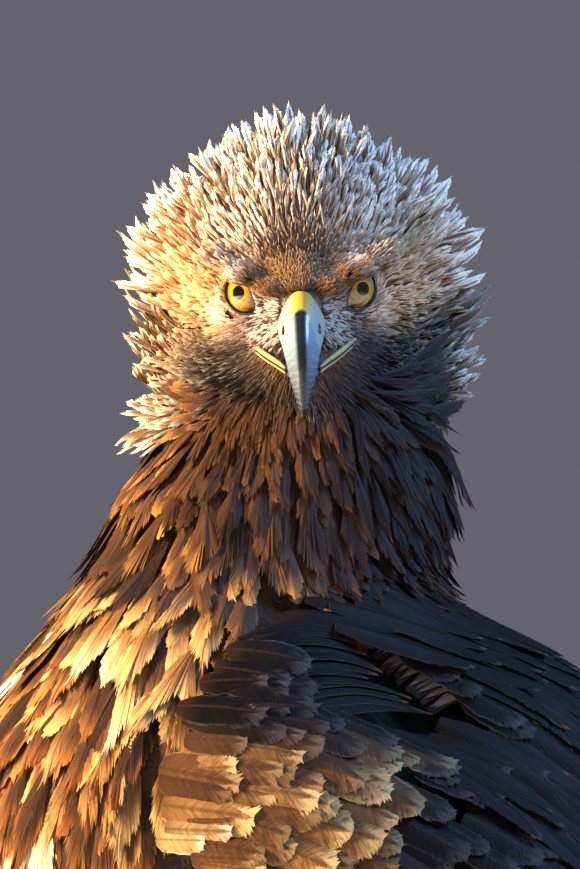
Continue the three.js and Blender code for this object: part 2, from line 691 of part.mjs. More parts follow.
// Each node is cut clear of the grown form of those it meets.
const bothBills = union([upperBill(GAP), lowerBill(GAP)]);
const headCut = head()
  .subtract(bothBills)
  .subtract(union(EYES.map((eye) => eyeball(eye, GAP))));
add("head", headCut, HACKLE);
EYES.forEach((eye) => add("eye_" + eye.name, eyeball(eye), IRIS));
add("bill_upper", upperBill(), CERE);
add("bill_lower", lowerBill().subtract(upperBill(GAP)), HORN);
add("neck", neck().subtract(head(GAP)).subtract(torso(GAP)), HACKLE);
add("torso", torso(), COAT);
add("tail", tail().subtract(torso(GAP)), FLIGHT);
for (const side of [1, -1]) {
  const name = side > 0 ? "left" : "right";
  const legRoom = torso(GAP);
  add("wing_" + name, wing(side).subtract(torso(GAP)).subtract(neck(GAP)).subtract(tail(GAP)), FLIGHT);
  add("thigh_" + name, thigh(side).subtract(legRoom).subtract(wing(side, GAP)), COAT);
  add("tarsus_" + name, tarsus(side).subtract(thigh(side, GAP)), SHANK);
  const talons = TOES.map((toe) => claw(side, toe, GAP));
  add("foot_" + name, foot(side).subtract(tarsus(side, GAP)).subtract(union(talons)), CERE);
  TOES.forEach((toe) => add(`claw_${name}_${toe.name}`, claw(side, toe), TALON));
}

// The origin is the middle of the bounding box, at the floor.
const box = new THREE.Box3().setFromObject(eagle);
const middle = box.getCenter(vec(0, 0, 0));
for (const mesh of eagle.children) mesh.geometry.translate(-middle.x, -middle.y, -box.min.z);

export default eagle;
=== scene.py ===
"""A golden eagle at life size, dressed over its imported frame.

One skin carries every feather as a thin closed vane. Lengths are millimetres in the bird's own
frame: it stands facing -Y with its neck's axis at X = Y = 0 and the floor at Z = 0, and looks
along +X. They become metres in the scene's frame when a mesh is made.
"""

import logging
import math
from collections.abc import Callable
from dataclasses import dataclass
from enum import Enum

import bmesh
import bpy
import numpy as np
from mathutils import Matrix, Vector
from mathutils.bvhtree import BVHTree
from mathutils.kdtree import KDTree


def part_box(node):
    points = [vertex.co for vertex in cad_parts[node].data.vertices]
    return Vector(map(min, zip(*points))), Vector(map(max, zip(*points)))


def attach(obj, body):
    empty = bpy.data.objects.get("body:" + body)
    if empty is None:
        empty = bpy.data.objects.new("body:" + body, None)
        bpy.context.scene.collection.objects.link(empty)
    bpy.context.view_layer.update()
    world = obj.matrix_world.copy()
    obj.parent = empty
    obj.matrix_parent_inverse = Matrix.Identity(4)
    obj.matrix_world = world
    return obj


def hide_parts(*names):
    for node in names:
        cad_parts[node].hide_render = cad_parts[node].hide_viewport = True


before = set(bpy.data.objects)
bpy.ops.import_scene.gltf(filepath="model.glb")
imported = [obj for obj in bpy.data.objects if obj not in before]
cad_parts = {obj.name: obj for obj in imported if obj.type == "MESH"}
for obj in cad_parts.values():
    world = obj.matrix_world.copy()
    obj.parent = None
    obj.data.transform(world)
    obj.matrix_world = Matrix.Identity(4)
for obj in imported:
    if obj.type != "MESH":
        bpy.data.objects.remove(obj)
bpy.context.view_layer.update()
LOG = logging.getLogger("eagle")

Array = np.ndarray
Field = Callable[[Array], Array]
Random = np.random.Generator
Shell = bmesh.types.BMesh
Piece = bpy.types.Object
Material = bpy.types.Material
Triple = tuple[float, float, float]

MM = 0.001
IMAGE_SIZE = (580, 869)
PIXEL = 0.41  # millimetres at the head
EYE_HEIGHT = 590.0
EYE_SPACING = 35.0
EYE_TURN = math.radians(35)
EYEBALL = 12.2
HEAD_SHIFT = 36.0
HEAD_PITCH = math.radians(20)
HEAD_ROLL = math.radians(2)
FOOT_SPREAD = 52.0
FOOT_BACK = 62.0
TAIL_LENGTH = 300.0
PATCH = 0.003  # size of a feather's patch on the skin's unwrap


def bird_origin() -> Array:
    """Place of the bird's own origin in the scene's frame, in millimetres, from feet and eyes."""
    feet = [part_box("foot_left"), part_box("foot_right")]
    eyes = [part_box("eye_left"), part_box("eye_right")]
    across = (min(low.x for low, _ in feet) + max(high.x for _, high in feet)) / 2
    along = sum(low.y + high.y for low, high in eyes) / 4
    return np.array([across, along, 0.0]) / MM


ORIGIN = bird_origin()
HEAD = np.array(
    Matrix.Translation((HEAD_SHIFT, 0, EYE_HEIGHT))
    @ Matrix.Rotation(HEAD_PITCH, 4, "Y")
    @ Matrix.Rotation(HEAD_ROLL, 4, "X")
)
TO_HEAD = np.linalg.inv(HEAD)
X, Y, Z = np.eye(3)


class Side(Enum):
    """The bird's left (+X) and right."""

    LEFT = 1
    RIGHT = -1

    @property
    def label(self) -> str:
        """The side's word in names."""
        return self.name.lower()


def unit(vectors: Array) -> Array:
    """Vectors along the last axis made one long."""
    return vectors / np.maximum(np.linalg.norm(vectors, axis=-1, keepdims=True), 1e-9)


def mix(a: Array, b: Array, share: Array) -> Array:
    """From a to b by share."""
    return a + (b - a) * share


def smooth(x: Array, low: float, high: float) -> Array:
    """0 below low, 1 above high, and an even S between."""
    t = np.clip((x - low) / (high - low), 0, 1)
    return t * t * (3 - 2 * t)


def fade(x: Array, low: float, high: float) -> Array:
    """1 below low, 0 above high, and an even S between."""
    return 1 - smooth(x, low, high)


def xyz(*axes: Array | float) -> Array:
    """Points or ways in rows, from their numbers along X, Y and Z."""
    return np.stack(np.broadcast_arrays(*axes), axis=1)


def flat_on(way: Array, out: Array) -> Array:
    """Ways laid flat on a surface that faces out."""
    return unit(way - out * (way * out).sum(axis=1, keepdims=True))


def placed(points: Array, matrix: Array) -> Array:
    """Points through a 4x4 matrix."""
    return points @ matrix[:3, :3].T + matrix[:3, 3]


def from_head(x: float, y: float, z: float) -> Array:
    """A point of the head's frame: ahead to the bill, to the bird's left, and up."""
    return placed(np.array([x, y, z], float), HEAD)


def on_head(x: float, y: float, z: float) -> Array:
    """A direction of the head's frame, one long."""
    return unit(HEAD[:3, :3] @ np.array([x, y, z], float))


def tint(code: str) -> Array:
    """A linear colour from its six hexadecimal digits."""
    value = np.array([int(code[i : i + 2], 16) for i in (0, 2, 4)]) / 255
    return np.where(value < 0.04045, value / 12.92, ((value + 0.055) / 1.055) ** 2.4)


def spline(points: Array, count: int) -> Array:
    """A Catmull-Rom curve through points, as evenly spread points."""
    knots = np.vstack([2 * points[0] - points[1], points, 2 * points[-1] - points[-2]])
    run = np.linspace(0, 1, count) * (len(points) - 1)
    i = np.minimum(run.astype(int), len(points) - 2)
    t = (run - i)[:, None]
    a, b, c, d = (knots[i + k] for k in range(4))
    return 0.5 * (2 * b + (c - a) * t + (2 * a - 5 * b + 4 * c - d) * t**2 + (3 * b - a - 3 * c + d) * t**3)


def mottle(points: Array, size: float, seed: int) -> Array:
    """Soft patches over space, from about -1 to 1, about as wide as size."""
    random = np.random.default_rng(seed)
    ways = unit(random.normal(size=(7, 3)))
    phases = random.uniform(0, 2 * math.pi, 7)
    stretch = random.uniform(0.7, 1.5, 7)
    return np.sin((points @ ways.T) * stretch / size * 2.2 + phases).sum(axis=-1) / 3.2


@dataclass(frozen=True)
class Mass:
    """A rounded mass of flesh: centre, radii along its own axes, and the slope of its long axis."""

    centre: Triple
    radii: Triple
    slope: float = 0.0
    on_head: bool = False

    def matrix(self) -> Array:
        """The mass's frame in the bird's."""
        place = Matrix.Translation(self.centre) @ Matrix.Rotation(math.radians(-self.slope), 4, "X")
        return HEAD @ np.array(place) if self.on_head else np.array(place)

    def __call__(self, points: Array) -> Array:
        """About how far each point lies outside the mass."""
        radii = np.array(self.radii)
        q = placed(points, np.linalg.inv(self.matrix()))
        near = np.linalg.norm(q / radii, axis=-1)
        return near * (near - 1) / np.maximum(np.linalg.norm(q / radii**2, axis=-1), 1e-9)


@dataclass(frozen=True)
class Flesh:
    """Masses, or other flesh, melted into each other over a blend length."""

    parts: tuple[Field, ...]
    blend: float

    def __call__(self, points: Array) -> Array:
        """About how far each point lies outside the surface."""
        values = np.stack([part(points) for part in self.parts])
        least = values.min(axis=0)
        return least - self.blend * np.log(np.exp(-(values - least) / self.blend).sum(axis=0))

    def outward(self, points: Array) -> Array:
        """The way out of the surface at each point."""
        return unit(np.stack([self(points + axis) - self(points - axis) for axis in (X, Y, Z)], axis=-1))

    def reach(self, starts: Array, ways: Array, limit: float = 190, step: float = 4) -> Array:
        """How far rays run from inner points to the outermost surface.

        Args:
            starts: Inner points.
            ways: Directions, one long.
            limit: The longest run that is looked at.
            step: Length of the first steps inwards.

        Returns:
            One distance for each ray.
        """
        outside = lambda run: self(starts + ways * run[:, None]) > 0
        outer = np.full(len(starts), float(limit))
        for _ in range(int(limit / step)):
            outer = np.where(outside(outer) & (outer > step), outer - step, outer)
        low, high = outer, np.minimum(outer + step, limit)
        for _ in range(9):
            middle = (low + high) / 2
            past = outside(middle)
            low, high = np.where(past, low, middle), np.where(past, middle, high)
        return (low + high) / 2


@dataclass(frozen=True)
class EyePlace:
    """Where an eye sits and looks, and the opening of its lids."""

    side: Side
    lift: float = -0.2
    spread: float = 1.0
    turns: tuple[float, ...] = (0, 33, 60, 90, 125, 155, 180, 200, 218, 238, 270, 315)
    radii: tuple[float, ...] = (8.5, 10.5, 7.2, 5.6, 4.9, 5.0, 5.9, 7.2, 10.2, 9.0, 8.4, 7.7)

    @property
    def centre(self) -> Array:
        """The middle of the eyeball."""
        return from_head(0, self.side.value * (EYE_SPACING / 2 + self.spread), self.lift)

    @property
    def look(self) -> Array:
        """The way that the eye looks."""
        return on_head(math.cos(EYE_TURN), self.side.value * math.sin(EYE_TURN), 0.3)

    @property
    def outer(self) -> Array:
        """The way from the nose to the temple, across the look."""
        return unit(np.cross(on_head(0, 0, 1), self.look)) * self.side.value

    @property
    def top(self) -> Array:
        """The way up, across the look."""
        return unit(np.cross(self.look, np.cross(on_head(0, 0, 1), self.look)))

    def seen(self, points: Array) -> list[Array]:
        """Points as distances outwards, up and along the look from the eyeball's middle."""
        return [(points - self.centre) @ way for way in (self.outer, self.top, self.look)]

    def at(self, x: Array, y: Array, z: Array) -> Array:
        """Points at distances outwards, up and along the look from the eyeball's middle."""
        ways = ((x, self.outer), (y, self.top), (z, self.look))
        return self.centre + sum(np.multiply.outer(distance, way) for distance, way in ways)

    def opening(self, angle: Array) -> Array:
        """Radius of the opening, at radians from the outer corner over the top."""
        turn = np.degrees(angle)[..., None] + np.linspace(-14, 14, 7)
        return np.interp(turn, self.turns, self.radii, period=360).mean(axis=-1)


@dataclass(frozen=True)
class Socket:
    """The rim of flesh that an eyeball sits in."""

    side: Side
    rest: float = 13.2
    thick: float = 2.4
    slope: float = 1.3
    floor: float = -9.0

    def crest(self, angle: Array, radius: Array) -> Array:
        """Height of the rim along the look, at places round it."""
        ring = EyePlace(self.side).opening(angle) + 0.4 + self.thick
        depth = np.sqrt(np.maximum(self.rest**2 - ring**2, 1)) + self.thick
        inside = np.maximum(ring - radius, 0) ** 2 / (2 * self.thick)
        return depth - inside - self.slope * np.maximum(radius - ring, 0)

    def __call__(self, points: Array) -> Array:
        """How far each point lies outside the rim."""
        eye = EyePlace(self.side)
        x, y, z = eye.seen(points)
        angle, radius = np.arctan2(y, x), np.hypot(x, y)
        wall, top = eye.opening(angle) + 0.4 - radius, (z - self.crest(angle, radius)) / 1.3
        soft = np.maximum(wall, top) + 0.9 * np.log1p(np.exp(-np.abs(wall - top) / 0.9))
        return np.where(z < self.floor, np.maximum(soft, self.floor - z), soft)


def both(*rows: tuple, head: bool = False) -> list[Mass]:
    """Masses given for the left side, and their mirror images."""
    place = lambda side, a, b, c: (a, side * b, c) if head else (side * a, b, c)
    return [Mass(place(side, *at), radii, slope, head) for at, radii, slope in rows for side in (1, -1)]


TRUNK = (
    Mass((0, -46, 345), (98, 112, 96), 60),
    Mass((0, 52, 308), (96, 156, 96), 30),
    Mass((0, 36, 240), (90, 90, 70), 8),
    Mass((0, 190, 248), (54, 82, 42), 33),
    Mass((0, -24, 422), (84, 84, 74)),
    Mass((0, 72, 393), (66, 80, 46), 30),
)
NECK = Mass((0, -9, 500), (54, 92, 66), -76)
TAIL_CONE = Mass((0, 266, 192), (42, 200, 26), 33)
TAIL_STEM = Mass((0, 240, 222), (36, 62, 22), 33)
SKULL = (
    Mass((-31, 0, -3), (39, 47, 45), 0, True),
    Mass((2, 0, -2), (22, 16, 18), 0, True),
    Mass((4, 0, -15), (18, 20, 7), 0, True),
    Mass((-8, 0, -22), (22, 21, 13), 0, True),
)
BROWS = both(
    ((15, 12.5, 7.2), (5, 4.6, 2.4), 0),
    ((11.5, 22.5, 11), (5.5, 5.6, 2.3), 0),
    ((3, 31.5, 13.4), (7, 5.6, 2.6), 0),
    head=True,
)
WING_ARMS = both(((80, 20, 350), (24, 104, 44), 33))
LEGS = both(
    ((54, 38, 190), (37, 82, 56), 66),
    ((53, 66, 128), (26, 46, 35), 70),
    ((52, 73, 74), (14.5, 56, 17), 99),
)
TORSO = Flesh((*TRUNK, NECK), 12)
BODY = Flesh((TORSO, Flesh(SKULL, 4)), 9)
FRONT = Flesh((Flesh((*SKULL, *BROWS), 3), *(Socket(side) for side in Side)), 1.6)
FACE = Flesh((TORSO, FRONT), 9)
WING_BED = Flesh((*TRUNK, TAIL_CONE), 12)
WING_FLESH = Flesh((*TRUNK, TAIL_CONE, *WING_ARMS), 10)
FLESH = Flesh((Flesh((*TRUNK, NECK, TAIL_STEM, *WING_ARMS, *LEGS), 10), FRONT), 8)


class Outline(Enum):
    """Half the width of a feather along its length, as shares."""

    LANCE = ((0, 0.12, 0.35, 0.6, 0.8, 0.92, 1), (0.5, 0.85, 1, 0.86, 0.54, 0.25, 0.03))
    ROUND = ((0, 0.1, 0.3, 0.6, 0.8, 0.93, 1), (0.5, 0.8, 0.95, 1, 0.93, 0.66, 0.22))
    SOFT = ((0, 0.1, 0.3, 0.6, 0.8, 0.93, 1), (0.5, 0.8, 1, 0.95, 0.74, 0.42, 0.08))
    BLADE = ((0, 0.1, 0.4, 0.85, 0.94, 0.98, 1), (0.3, 0.6, 0.9, 1, 0.82, 0.5, 0.14))

    def half(self, v: Array) -> Array:
        """Half the width at shares v of the length."""
        return np.interp(v, *self.value)


@dataclass
class Shapes:
    """Like closed meshes: points of each, and the faces and vane places that they share."""

    points: Array
    faces: Array
    vane: Array

    def joined(self, other: "Shapes") -> "Shapes":
        """These and others of the same feathers as one mesh each."""
        return Shapes(
            np.concatenate([self.points, other.points], axis=1),
            np.vstack([self.faces, other.faces + self.points.shape[1]]),
            np.concatenate([self.vane, other.vane], axis=1),
        )


def rings_joined(rings: int, around: int, tip: bool) -> Array:
    """Triangles of a closed tube of rings.

    Args:
        rings: How many.
        around: Points in each.
        tip: Whether one more point closes the far end.

    Returns:
        Rows of three indices.
    """
    faces = []
    for start in range(0, (rings - 1) * around, around):
        for k in range(around):
            a, b = start + k, start + (k + 1) % around
            faces += [(a, b, b + around), (a, b + around, a + around)]
    faces += [(0, k + 1, k) for k in range(1, around - 1)]
    last = (rings - 1) * around
    if tip:
        faces += [(last + k, last + (k + 1) % around, last + around) for k in range(around)]
    else:
        faces += [(last, last + k, last + k + 1) for k in range(1, around - 1)]
    return np.array(faces)


@dataclass
class Curves:
    """Feather shafts: places, sideways and outward directions at even stations, and half widths."""

    at: Array
    side: Array
    out: Array
    half: Array

    @classmethod
    def through(cls, points: Array, out: Array, half: Array, roll: Array | float = 0.0) -> "Curves":
        """Shafts through points.

        Args:
            points: Stations of each feather.
            out: About the way out of the body at each.
            half: Half the width of each feather.
            roll: Radians that each turns about its shaft.

        Returns:
            The shafts with their frames.
        """
        ahead = unit(np.gradient(points, axis=1))
        side = unit(np.cross(ahead, out))
        turn = np.broadcast_to(np.asarray(roll, float), (len(points),))[:, None, None]
        rolled = side * np.cos(turn) + np.cross(side, ahead) * np.sin(turn)
        return cls(points, rolled, unit(np.cross(rolled, ahead)), np.broadcast_to(half, (len(points),)))

    def place(self, v: Array, wide: Array, height: Array, camber: float) -> Array:
        """Points of the feathers' surfaces.

        Args:
            v: Shares of the length, one row for each feather.
            wide: Shares of the half width.
            height: Millimetres out of the vane.
            camber: How much the edges droop.

        Returns:
            Points, one row for each feather.
        """
        last = self.at.shape[1] - 1
        run = np.clip(v, 0, 1) * last
        i = np.minimum(run.astype(int), last - 1)
        t = (run - i)[..., None]
        row = np.arange(len(self.at))[:, None]
        at, side, out = (mix(a[row, i], a[row, i + 1], t) for a in (self.at, self.side, self.out))
        half = self.half[:, None]
        beyond = np.maximum(v - 1, 0)[..., None] * (self.at[:, -1] - self.at[:, 0])[:, None]
        lift = height - camber * wide**2 * half
        return at + side * (wide * half)[..., None] + out * lift[..., None] + beyond

    def tubes(self, v: Array, wide: Array, height: Array, u: Array, camber: float, rings: int) -> Shapes:
        """Closed tubes of rings along the shafts.

        Args:
            v: Shares of the length, by ring, with one more where a tip closes the end.
            wide: Shares of the half width.
            height: Millimetres out of the vane.
            u: Places across the vane, from 0 to 1.
            camber: How much the edges droop.
            rings: How many there are.

        Returns:
            The tubes.
        """
        v, wide, height, u = (np.broadcast_to(a, (len(self.at), len(v))) for a in (v, wide, height, u))
        around, tip = divmod(v.shape[1], rings)
        faces = rings_joined(rings, around, tip > 0)
        return Shapes(self.place(v, wide, height, camber), faces, np.stack([u, v], axis=-1))


@dataclass(frozen=True)
class Tuft:
    """A sliver of a small feather, three-sided and drawn to a point."""

    outline: Outline = Outline.LANCE
    rings: int = 3
    thick: float = 0.35
    camber: float = 0.25

    def shapes(self, curves: Curves, _: Random) -> Shapes:
        """The slivers along their curves."""
        v = np.append(np.repeat(np.linspace(0, 1, self.rings + 1)[:-1], 3), 1)
        wide = np.append(np.tile([1.0, -1.0, 0.0], self.rings), 0) * self.outline.half(np.maximum(v, 0.1))
        height = np.append(np.tile([0, 0, self.thick], self.rings), 0)
        return curves.tubes(v, wide, height, 0.5 + 0.5 * wide, self.camber, self.rings)


@dataclass(frozen=True)
class SmoothVane:
    """A flight feather: a thin closed vane with a ridge for its shaft."""

    outline: Outline = Outline.BLADE
    stations: int = 13
    thick: float = 0.45
    camber: float = 0.12
    ragged: float = 0.03

    def shapes(self, curves: Curves, random: Random) -> Shapes:
        """The vanes along their curves."""
        ring = (1, 0.55, 0.06, -0.06, -0.55, -1, 0.0)
        v = np.repeat(1 - (1 - np.linspace(0, 1, self.stations)) ** 1.35, len(ring))
        round_, lift = (np.tile(a, self.stations) for a in (ring, (0, 0.7, 1.5, 1.5, 0.7, 0, -0.8)))
        wobble = 1 + self.ragged * random.normal(size=(len(curves.at), len(v))) * (np.abs(round_) > 0.9)
        wide, height = round_ * self.outline.half(v) * wobble, lift * self.thick * mix(1.6, 0.6, v)
        return curves.tubes(v, wide, height, 0.5 + 0.5 * round_, self.camber, self.stations)


@dataclass(frozen=True)
class BarbedVane:
    """A feather of separate barbs, each a thin closed sliver swept forward off the shaft."""

    outline: Outline = Outline.ROUND
    barbs: int = 20
    sweep: float = 0.3
    first: float = 0.05
    thick: float = 0.14
    camber: float = 0.2
    loose: float = 0.1
    overlap: float = 6.0
    crowd: float = 1.35
    shaft: bool = True

    def shapes(self, curves: Curves, random: Random) -> Shapes:
        """The barbs and the shafts along their curves, crowding towards the tips."""
        count, barbs = len(curves.at), self.barbs
        left_over = 1 - np.arange(barbs) / barbs
        run = 0.97 - self.first
        start = self.first + run * (1 - left_over**self.crowd)
        pitch = run / barbs * np.maximum(self.crowd * left_over ** (self.crowd - 1), 0.3)
        end = np.minimum(start + self.overlap * pitch, 0.985)
        root = (start + end) / 2
        sweep = self.sweep * (1 - root**3)
        tip = np.minimum(root + sweep, 1)
        # Corners of a sliver: rear and front root, ridge, and tip
        v = np.stack([start, end, root + 0.42 * sweep, tip], axis=1)
        reach, give, height = np.array([[0, 0, 0.45, 1], [0, 0, 0.25, 1], [0, 0, self.thick, -0.15]])
        shape = (count, 2, barbs, 4)
        clumps = np.repeat(random.normal(size=(count, 2, barbs // 3 + 1)), 3, axis=2)[:, :, :barbs, None]
        stray = 0.6 * random.normal(size=(count, 2, barbs, 1)) + 0.8 * clumps
        stray = stray * (0.4 + 1.2 * root**2)[:, None] * give
        sides = np.array([1.0, -1.0])[:, None, None]
        wide = reach * self.outline.half(tip)[:, None] * (1 + self.loose * stray) * sides
        parts = (v + stray * 0.3 * self.loose, wide, height + stray * 0.25)
        points = curves.place(*(a.reshape(count, -1) for a in parts), self.camber)
        one = np.array([(0, 1, 3), (0, 2, 1), (1, 2, 3), (2, 0, 3)])
        left = (one[None] + 4 * np.arange(barbs)[:, None, None]).reshape(-1, 3)
        vane = np.stack([np.broadcast_to(a, shape) for a in (0.5 + 0.5 * reach * sides, v)], axis=-1)
        made = Shapes(points, np.vstack([left, left[:, ::-1] + 4 * barbs]), vane.reshape(count, -1, 2))
        return made.joined(self.quill(curves)) if self.shaft else made

    def quill(self, curves: Curves, rings: int = 3) -> Shapes:
        """The shafts alone, three-sided and tapering."""
        v = np.append(np.repeat(np.linspace(0.1, 0.75, rings), 3), 0.97)
        size = mix(0.42, 0.12, v)
        wide = np.append(np.tile([1.0, -1.0, 0.0], rings), 0) * size / curves.half[:, None]
        height = np.append(np.tile([0.1, 0.1, 1.0], rings), 0.3) * size * 1.3
        return curves.tubes(v, wide, height, 0.5, self.camber, rings)


@dataclass
class Colours:
    """Colours of feathers: the vane with the shaft's darkness, and the fringe with its width."""

    core: Array
    edge: Array

    @classmethod
    def of(cls, core: Array, edge: Array, shaft: Array | float, fringe: Array | float) -> "Colours":
        """Joins colours and their fourth numbers."""
        fourth = [np.broadcast_to(a, (len(core),))[:, None] for a in (shaft, fringe)]
        return cls(np.hstack([core, fourth[0]]), np.hstack([edge, fourth[1]]))


@dataclass
class Lay:
    """Where feathers grow and how they lie."""

    root: Array
    way: Array
    length: Array
    width: Array
    raised: Array
    bend: Array
    roll: Array

    def curves(self, flesh: Flesh, stations: int = 6) -> Curves:
        """Shafts that leave the flesh at the raised angle and bend back towards it.

        Args:
            flesh: What they lie on.
            stations: Points along each shaft.

        Returns:
            The shafts.
        """
        at, way = self.root, self.way
        points, outs = [at], [flesh.outward(at)]
        step = (self.length / (stations - 1))[:, None]
        for k in range(stations - 1):
            out = outs[-1]
            way = flat_on(way, out)
            angle = (self.raised - self.bend * k / (stations - 2))[:, None]
            at = at + (way * np.cos(angle) + out * np.sin(angle)) * step
            points.append(at)
            outs.append(flesh.outward(at))
        return Curves.through(np.stack(points, axis=1), np.stack(outs, axis=1), self.width / 2, self.roll)


def streams(
    flesh: Flesh, roots: Array, flow: Field, length: Array, lifts: Array, stray: Array, stations: int = 8
) -> tuple[Array, Array]:
    """Lines that follow a flow over the flesh at a changing height.

    Args:
        flesh: What they run over.
        roots: Where they start.
        flow: Gives the way at points.
        length: Of each line.
        lifts: Height over the flesh at the root and at the tip of each.
        stray: Radians that each turns off the flow.
        stations: Points along each.

    Returns:
        The points, and the ways out of the flesh at each.
    """
    at, points, outs = roots, [], []
    for k in range(stations):
        lift = mix(lifts[:, 0], lifts[:, 1], (k / (stations - 1)) ** 0.8)
        for _ in range(2):
            out = flesh.outward(at)
            at = at - out * (flesh(at) - lift)[:, None]
        points.append(at)
        outs.append(out)
        way = flat_on(flow(at), out)
        turned = way * np.cos(stray)[:, None] + np.cross(out, way) * np.sin(stray)[:, None]
        at = at + turned * (length / (stations - 1))[:, None]
    return np.stack(points, axis=1), np.stack(outs, axis=1)


class Palette:
    """The bird's colours, by name."""

    cream = tint("f8ecd4")
    buff = tint("e3bd7c")
    gold = tint("c58436")
    rufous = tint("8b4f25")
    tan = tint("96693a")
    brown = tint("5f3c22")
    umber = tint("3b2517")
    dusk = tint("241a15")
    night = tint("17120f")
    slate = tint("6c6460")
    ash = tint("a8a196")
    frost = tint("cfc8bb")
    bar = tint("7d7061")


class Link:
    """A socket, or a number, in a material's maths."""

    def __init__(self, graph: "Graph", socket: bpy.types.NodeSocket) -> None:
        """Wraps a socket of a graph."""
        self.graph, self.socket = graph, socket

    def math(self, operation: str, *others: "Link | float") -> "Link":
        """This and others through a Math node."""
        inputs = dict(enumerate((self, *others)))
        return self.graph.link("ShaderNodeMath", 0, {"operation": operation}, inputs)

    def __add__(self, other: "Link | float") -> "Link":
        """Sum."""
        return self.math("ADD", other)

    __radd__ = __add__

    def __mul__(self, other: "Link | float") -> "Link":
        """Product."""
        return self.math("MULTIPLY", other)

    __rmul__ = __mul__

    def __sub__(self, other: "Link | float") -> "Link":
        """Difference."""
        return self.math("SUBTRACT", other)

    def __rsub__(self, other: float) -> "Link":
        """Difference from a number."""
        return self * -1.0 + other

    def __abs__(self) -> "Link":
        """Size without sign."""
        return self.math("ABSOLUTE")

    def up_to(self, other: "Link | float") -> "Link":
        """The greater of two."""
        return self.math("MAXIMUM", other)

    def ramp(self, low: "Link | float", high: "Link | float") -> "Link":
        """0 below low, 1 above high, and an even S between."""
        inputs = {"Value": self, "From Min": low, "From Max": high}
        return self.graph.link("ShaderNodeMapRange", "Result", {"interpolation_type": "SMOOTHSTEP"}, inputs)


class Graph:
    """A material and the nodes that make it."""

    def __init__(self, name: str) -> None:
        """Starts a material with a bare shader."""
        self.material = bpy.data.materials.new(name)
        self.material.use_nodes = True
        self.tree = self.material.node_tree
        self.tree.nodes.clear()
        self.shader = self.node("ShaderNodeBsdfPrincipled")
        self.node("ShaderNodeOutputMaterial", None, {"Surface": Link(self, self.shader.outputs[0])})

    def feed(self, node: bpy.types.Node, inputs: dict) -> None:
        """Links or sets a node's sockets, by name or number."""
        for key, value in inputs.items():
            if isinstance(value, Link):
                self.tree.links.new(value.socket, node.inputs[key])
            else:
                node.inputs[key].default_value = value

    def node(self, kind: str, settings: dict | None = None, inputs: dict | None = None) -> bpy.types.Node:
        """Any node.

        Args:
            kind: Its type.
            settings: Its own options, set first.
            inputs: Values or links of its sockets.

        Returns:
            The node.
        """
        made = self.tree.nodes.new(kind)
        for key, value in (settings or {}).items():
            setattr(made, key, value)
        self.feed(made, inputs or {})
        return made

    def link(
        self, kind: str, output: str | int = 0, settings: dict | None = None, inputs: dict | None = None
    ) -> Link:
        """One output of a new node."""
        return Link(self, self.node(kind, settings, inputs).outputs[output])

    def read(self, name: str, *outputs: str) -> list[Link]:
        """Outputs of a mesh's attribute."""
        node = self.node("ShaderNodeAttribute", {"attribute_name": name})
        return [Link(self, node.outputs[output]) for output in outputs]

    def unwrap(self, name: str) -> list[Link]:
        """The two numbers of a UV map."""
        return self.axes(self.link("ShaderNodeUVMap", 0, {"uv_map": name}))[:2]

    def axes(self, vector: Link) -> list[Link]:
        """The three numbers of a vector."""
        node = self.node("ShaderNodeSeparateXYZ", None, {0: vector})
        return [Link(self, out) for out in node.outputs]

    def vector(self, x: Link | float, y: Link | float, z: Link | float) -> Link:
        """A vector from three numbers."""
        return self.link("ShaderNodeCombineXYZ", 0, None, {0: x, 1: y, 2: z})

    def mixed(self, first: Link | Array, second: Link | Array, share: Link | float, how: str = "MIX") -> Link:
        """Two colours mixed."""
        a, b = (c if isinstance(c, Link) else (*c, 1.0) for c in (first, second))
        return self.link("ShaderNodeMix", 2, {"data_type": "RGBA", "blend_type": how}, {0: share, 6: a, 7: b})

    def shaded(self, colour: Link, shade: Link) -> Link:
        """A colour times a number."""
        return self.mixed(colour, self.vector(shade, shade, shade), 1.0, "MULTIPLY")

    def noise(self, vector: Link, scale: float, detail: float = 2.0) -> Link:
        """Noise from 0 to 1."""
        return self.link("ShaderNodeTexNoise", 0, None, {"Vector": vector, "Scale": scale, "Detail": detail})

    def object_place(self) -> Link:
        """The place on the object, in metres."""
        return self.link("ShaderNodeTexCoord", "Object")

    def bump(self, height: Link, strength: float, distance: float) -> Link:
        """A normal from a height."""
        inputs = {"Height": height, "Strength": strength, "Distance": distance}
        return self.link("ShaderNodeBump", 0, None, inputs)

    def finish(self, **inputs: Link | float | tuple) -> Material:
        """Sets the shader's sockets, with _ for spaces, and gives the material."""
        self.feed(self.shader, {key.replace("_", " "): value for key, value in inputs.items()})
        return self.material


